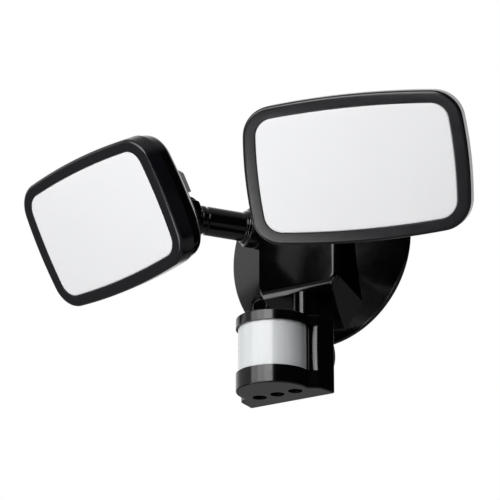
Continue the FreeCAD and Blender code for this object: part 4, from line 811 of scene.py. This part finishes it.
class LIGHT_OT_sensor(bpy.types.Operator):
    """Sensor housing, its lens and its rear cover"""
    bl_idname = "light.sensor"
    bl_label = "Sensor"

    def execute(self, context):
        place = sensor_place()
        piece("sensor_shell", self.shell(), "sensor_body", "black plastic",
              ["sensor_housing"], place)
        piece("sensor_window", self.window(), "sensor_body", "sensor lens",
              ["sensor_lens"], place)
        piece("sensor_back", self.back(), "sensor_body", "black plastic",
              ["sensor_rear_cover"], place)
        return {"FINISHED"}

    def shell(self):
        """Front shell with the window for the lens and three holes for the dials."""
        shape = carved(parted(sensor_prism(), -mm("sensor_back") - 3.1, "front"), self.opening())
        floor = -mm("sensor_bottom")
        for k in (-1, 0, 1):
            hole = lathe([(0, floor - 1), (4.6, floor - 1), (4.5, floor), (4.25, floor + 0.2),
                          (4.2, floor + 0.5), (4.2, floor + 2.2), (5.6, floor + 2.2), (5.6, floor + 8),
                          (0, floor + 8)], 48)
            shape = carved(shape, turned(hole, Matrix.Translation((k * mm("dial_pitch"), -DIAL_SET_OUT, 0))))
        return shape

    def opening(self):
        """What the window takes away: all in front of the two bowed ears and of the drum behind the lens."""
        low, high = -mm("lens_bottom"), -mm("lens_top")
        drum, nose = mm("sensor_radius"), -mm("sensor_nose")
        ear, rim, side = EAR_FRONT, RIM_FRONT, 28.75
        shape = bmesh.new()
        first = shape.verts.new((0, -110, low))
        spot = drawn(shape, first, (40, -110, low))
        spot = drawn(shape, spot, (40, ear + 7.0, low))
        spot = drawn(shape, spot, (side, ear + EAR_ROUND, low))
        spot = swept(shape, spot, (side - EAR_ROUND, ear + EAR_ROUND, low), (0, 0, 1), -math.pi / 2, 14)
        at_ear, at_rim = (math.asin((y - nose) / drum) for y in (ear, rim))
        spot = drawn(shape, spot, (drum * math.cos(at_ear), ear, low))
        spot = swept(shape, spot, (0, nose, low), (0, 0, 1), at_rim - at_ear, 4)
        drawn(shape, spot, (0, rim, low))
        bmesh.ops.mirror(shape, geom=shape.verts[:] + shape.edges[:], merge_dist=0.001, axis="X")
        extruded(shape, (0, 0, high - low))
        for share in (0.08, 0.16, 0.3, 0.5, 0.7, 0.84, 0.92):
            bmesh.ops.bisect_plane(shape, geom=shape.verts[:] + shape.edges[:] + shape.faces[:],
                                   plane_co=(0, 0, low + share * (high - low)), plane_no=(0, 0, 1))
        for spot in shape.verts:
            if 23 < abs(spot.co.x) < 28.8:
                bow = 1 - (2 * (spot.co.z - low) / (high - low) - 1) ** 2
                fade = max(0, 1 - (spot.co.y - ear) / 4.2)
                spot.co.x -= math.copysign(EAR_BOW * bow * fade, spot.co.x)
        bmesh.ops.recalc_face_normals(shape, faces=shape.faces)
        return shape

    def window(self):
        """Curved lens, closed behind so that nothing is seen through its ends."""
        r = mm("sensor_radius") - mm("lens_inset")
        low, high = -mm("lens_bottom") - 0.2, -mm("lens_top") + 0.2
        wall = [(r - 1.2, low), (r, low), (r, high), (r - 1.2, high), (r - 1.2, low)]
        shape = lathe(wall, LENS_STEPS, -LENS_TURN)
        centred = Matrix.Rotation(math.radians(LENS_TURN / 2 - 90), 4, "Z")
        turned(shape, Matrix.Translation((0, -mm("sensor_nose"), 0)) @ centred)
        bmesh.ops.holes_fill(shape, edges=shape.edges, sides=0)
        bmesh.ops.recalc_face_normals(shape, faces=shape.faces)
        return shape

    def back(self):
        """Rear cover with a hump across it and two lugs for the tilt pin."""
        rear = -mm("sensor_back")
        plate = parted(sensor_prism(), rear - 3.0, "rear")
        hump = soften(lathe([(0, -28.6), (15, -28.6), (15, 28.6), (0, 28.6)], 120), 1.0)
        turned(hump, Matrix.Translation((0, rear - 15 + 3.0, -82)) @ Matrix.Rotation(math.pi / 2, 4, "Y"))
        parted(hump, rear - 0.5, "rear")
        return joined(plate, hump, self.lug(-11.3), self.lug(7.3))

    def lug(self, start):
        """Plate with a round end about the tilt pin."""
        shape = bmesh.new()
        root = -mm("sensor_back") - 1.0
        reach = 8.5
        first = shape.verts.new((start, root, -PIN_DROP - reach))
        spot = drawn(shape, first, (start, -STEM_SET_OUT, -PIN_DROP - reach))
        spot = swept(shape, spot, (start, -STEM_SET_OUT, -PIN_DROP), (1, 0, 0), math.pi, 20)
        last = drawn(shape, spot, (start, root, -PIN_DROP + reach))
        shape.edges.new((last, first))
        return soften(extruded(shape, (4, 0, 0)), 0.7, lies_flat)


class LIGHT_OT_dials(bpy.types.Operator):
    """Three slotted dials in the sensor's bottom"""
    bl_idname = "light.dials"
    bl_label = "Dials"

    def execute(self, context):
        tip = -mm("sensor_bottom") + DIAL_SUNK
        for k, name in zip((-1, 0, 1), DIALS):
            knob = lathe([(0, tip), (2.2, tip), (2.2, tip + 1.9), (5, tip + 1.9), (5, tip + 3.0),
                          (3, tip + 3.0), (3, tip + 5.0), (0, tip + 5.0)], 40)
            soften(knob, 0.35, lambda edge: edge.verts[0].co.z < tip + 0.1, 3)
            knob = carved(knob, brick((-3.6, -0.45, tip - 1), (3.6, 0.45, tip + 0.7)))
            turned(knob, Matrix.Translation((k * mm("dial_pitch"), -DIAL_SET_OUT, 0)))
            piece(name + "_knob", knob, name + "_body", "dial plastic", [name], sensor_place())
        return {"FINISHED"}


class LIGHT_OT_fittings(bpy.types.Operator):
    """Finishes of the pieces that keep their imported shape"""
    bl_idname = "light.fittings"
    bl_label = "Fittings"

    def execute(self, context):
        for node, material in FITTINGS.items():
            for name in ([side + node for side in SIDES] if node.startswith("_") else [node]):
                dress(name, material)
        return {"FINISHED"}


class LIGHT_OT_stage(bpy.types.Operator):
    """Pale floor, soft studio lamps and the camera of the photograph"""
    bl_idname = "light.stage"
    bl_label = "Stage"

    def execute(self, context):
        self.floor()
        self.lamps()
        self.sky(context)
        self.camera(context)
        context.scene.view_settings.view_transform = "Standard"
        return {"FINISHED"}

    def floor(self):
        shape = bmesh.new()
        bmesh.ops.create_grid(shape, x_segments=1, y_segments=1, size=FLOOR_HALF)
        bmesh.ops.translate(shape, vec=(0, 0, -FLOOR_DROP), verts=shape.verts)
        mesh = bpy.data.meshes.new("floor")
        shape.to_mesh(mesh)
        shape.free()
        mesh.materials.append(self.floor_finish())
        item = bpy.data.objects.new("floor", mesh)
        bpy.context.collection.objects.link(item)

    def floor_finish(self):
        """Pale matt floor that the camera sees nearly white."""
        material, shader = start_material("pale floor")
        plug(material, tint(material, grain(material, 400.0), (0.86, 0.86, 0.86, 1), (0.9, 0.9, 0.9, 1)),
             shader.inputs["Base Color"])
        shader.inputs["Roughness"].default_value = 0.8
        white = add_node(material, "ShaderNodeEmission", Strength=0.86)
        mix = add_node(material, "ShaderNodeMixShader")
        share = add_node(material, "ShaderNodeMath", operation="MULTIPLY")
        share.inputs[1].default_value = 0.85
        plug(material, add_node(material, "ShaderNodeLightPath").outputs["Is Camera Ray"], share.inputs[0])
        plug(material, share.outputs[0], mix.inputs[0])
        plug(material, shader.outputs[0], mix.inputs[1])
        plug(material, white.outputs[0], mix.inputs[2])
        plug(material, mix.outputs[0], material.node_tree.nodes["Material Output"].inputs["Surface"])
        return material

    def lamps(self):
        """A wide softbox in front in three strips that grow brighter to the right, two cards and a strip."""
        for name, turn, lift, reach, width, height, radiance in LAMPS:
            turn, lift = math.radians(turn), math.radians(lift)
            way = Vector((math.sin(turn) * math.cos(lift), -math.cos(turn) * math.cos(lift), math.sin(lift)))
            data = bpy.data.lights.new(name, "AREA")
            data.shape = "RECTANGLE"
            data.size, data.size_y = width, height
            data.energy = radiance * width * height * math.pi
            lamp = bpy.data.objects.new(name, data)
            lamp.matrix_world = facing(LOOK_AT + way * reach, way)
            bpy.context.collection.objects.link(lamp)

    def sky(self, context):
        """White where the camera looks; a dim room round the object, lighter at the left and above."""
        world = bpy.data.worlds.new("studio")
        context.scene.world = world
        world.use_nodes = True
        world.node_tree.nodes.clear()
        way = add_node(world, "ShaderNodeTexCoord").outputs["Generated"]
        axes = add_node(world, "ShaderNodeSeparateXYZ")
        plug(world, way, axes.inputs[0])
        x, _, z = axes.outputs
        room = combined(world, remap(world, x, (0.1, -0.75), (0.01, 0.5), "SMOOTHSTEP"),
                        remap(world, z, (0.55, 0.95), (0.0, 0.3), "SMOOTHSTEP"), "MAXIMUM")
        toward = add_node(world, "ShaderNodeVectorMath", operation="DOT_PRODUCT")
        plug(world, way, toward.inputs[0])
        toward.inputs[1].default_value = BACKDROP_WAY
        backdrop = remap(world, toward.outputs["Value"], (0.55, 0.95), (0.0, 1.0), "SMOOTHSTEP")
        height = remap(world, z, (-0.45, 0.05), (0.1, 1.0), "SMOOTHSTEP")
        backdrop = combined(world, backdrop, height, "MULTIPLY")
        path = add_node(world, "ShaderNodeLightPath").outputs
        mirrored = combined(world, path["Is Glossy Ray"], path["Is Transmission Ray"], "MAXIMUM")
        mirrored = combined(world, mirrored, backdrop, "MULTIPLY")
        seen = combined(world, path["Is Camera Ray"], mirrored, "MAXIMUM")
        dim = add_node(world, "ShaderNodeBackground", Color=(1, 1, 1, 1))
        white = add_node(world, "ShaderNodeBackground", Color=(1, 1, 1, 1))
        mix, out = add_node(world, "ShaderNodeMixShader"), add_node(world, "ShaderNodeOutputWorld")
        plug(world, room, dim.inputs["Strength"])
        plug(world, seen, mix.inputs["Fac"])
        plug(world, dim.outputs[0], mix.inputs[1])
        plug(world, white.outputs[0], mix.inputs[2])
        plug(world, mix.outputs[0], out.inputs["Surface"])

    def camera(self, context):
        """Camera at the photograph's angle."""
        turn, lift = CAMERA_TURN, CAMERA_LIFT
        right = Vector((math.cos(turn), math.sin(turn), 0))
        up = Vector((-math.sin(turn) * math.sin(lift), math.cos(turn) * math.sin(lift), math.cos(lift)))
        back = right.cross(up)
        data = bpy.data.cameras.new("camera")
        data.sensor_width = CAMERA_SENSOR
        data.lens = CAMERA_LENS
        data.clip_end = 50.0
        item = bpy.data.objects.new("camera", data)
        item.matrix_world = Matrix.Translation(CAMERA_PLACE) @ Matrix((right, up, back)).transposed().to_4x4()
        context.collection.objects.link(item)
        context.scene.camera = item


OPERATORS = (LIGHT_OT_heads, LIGHT_OT_tilt_bolts, LIGHT_OT_arms, LIGHT_OT_base, LIGHT_OT_plugs, LIGHT_OT_stem,
             LIGHT_OT_sensor, LIGHT_OT_dials, LIGHT_OT_fittings, LIGHT_OT_stage)


class LIGHT_PT_panel(bpy.types.Panel):
    bl_label = "Security Light"
    bl_idname = "LIGHT_PT_panel"
    bl_space_type = "VIEW_3D"
    bl_region_type = "UI"
    bl_category = "Security Light"

    def draw(self, context):
        for operator in OPERATORS:
            self.layout.operator(operator.bl_idname)


def register():
    for item in (LightFinishes, LightSizes, *OPERATORS, LIGHT_PT_panel):
        bpy.utils.register_class(item)
    bpy.types.Scene.light_finishes = PointerProperty(type=LightFinishes)
    bpy.types.Scene.light_sizes = PointerProperty(type=LightSizes)


def unregister():
    del bpy.types.Scene.light_sizes
    del bpy.types.Scene.light_finishes
    for item in reversed((LightFinishes, LightSizes, *OPERATORS, LIGHT_PT_panel)):
        bpy.utils.unregister_class(item)


def main():
    register()
    for operator in OPERATORS:
        group, name = operator.bl_idname.split(".")
        getattr(getattr(bpy.ops, group), name)()


if __name__ == "__main__":
    main()
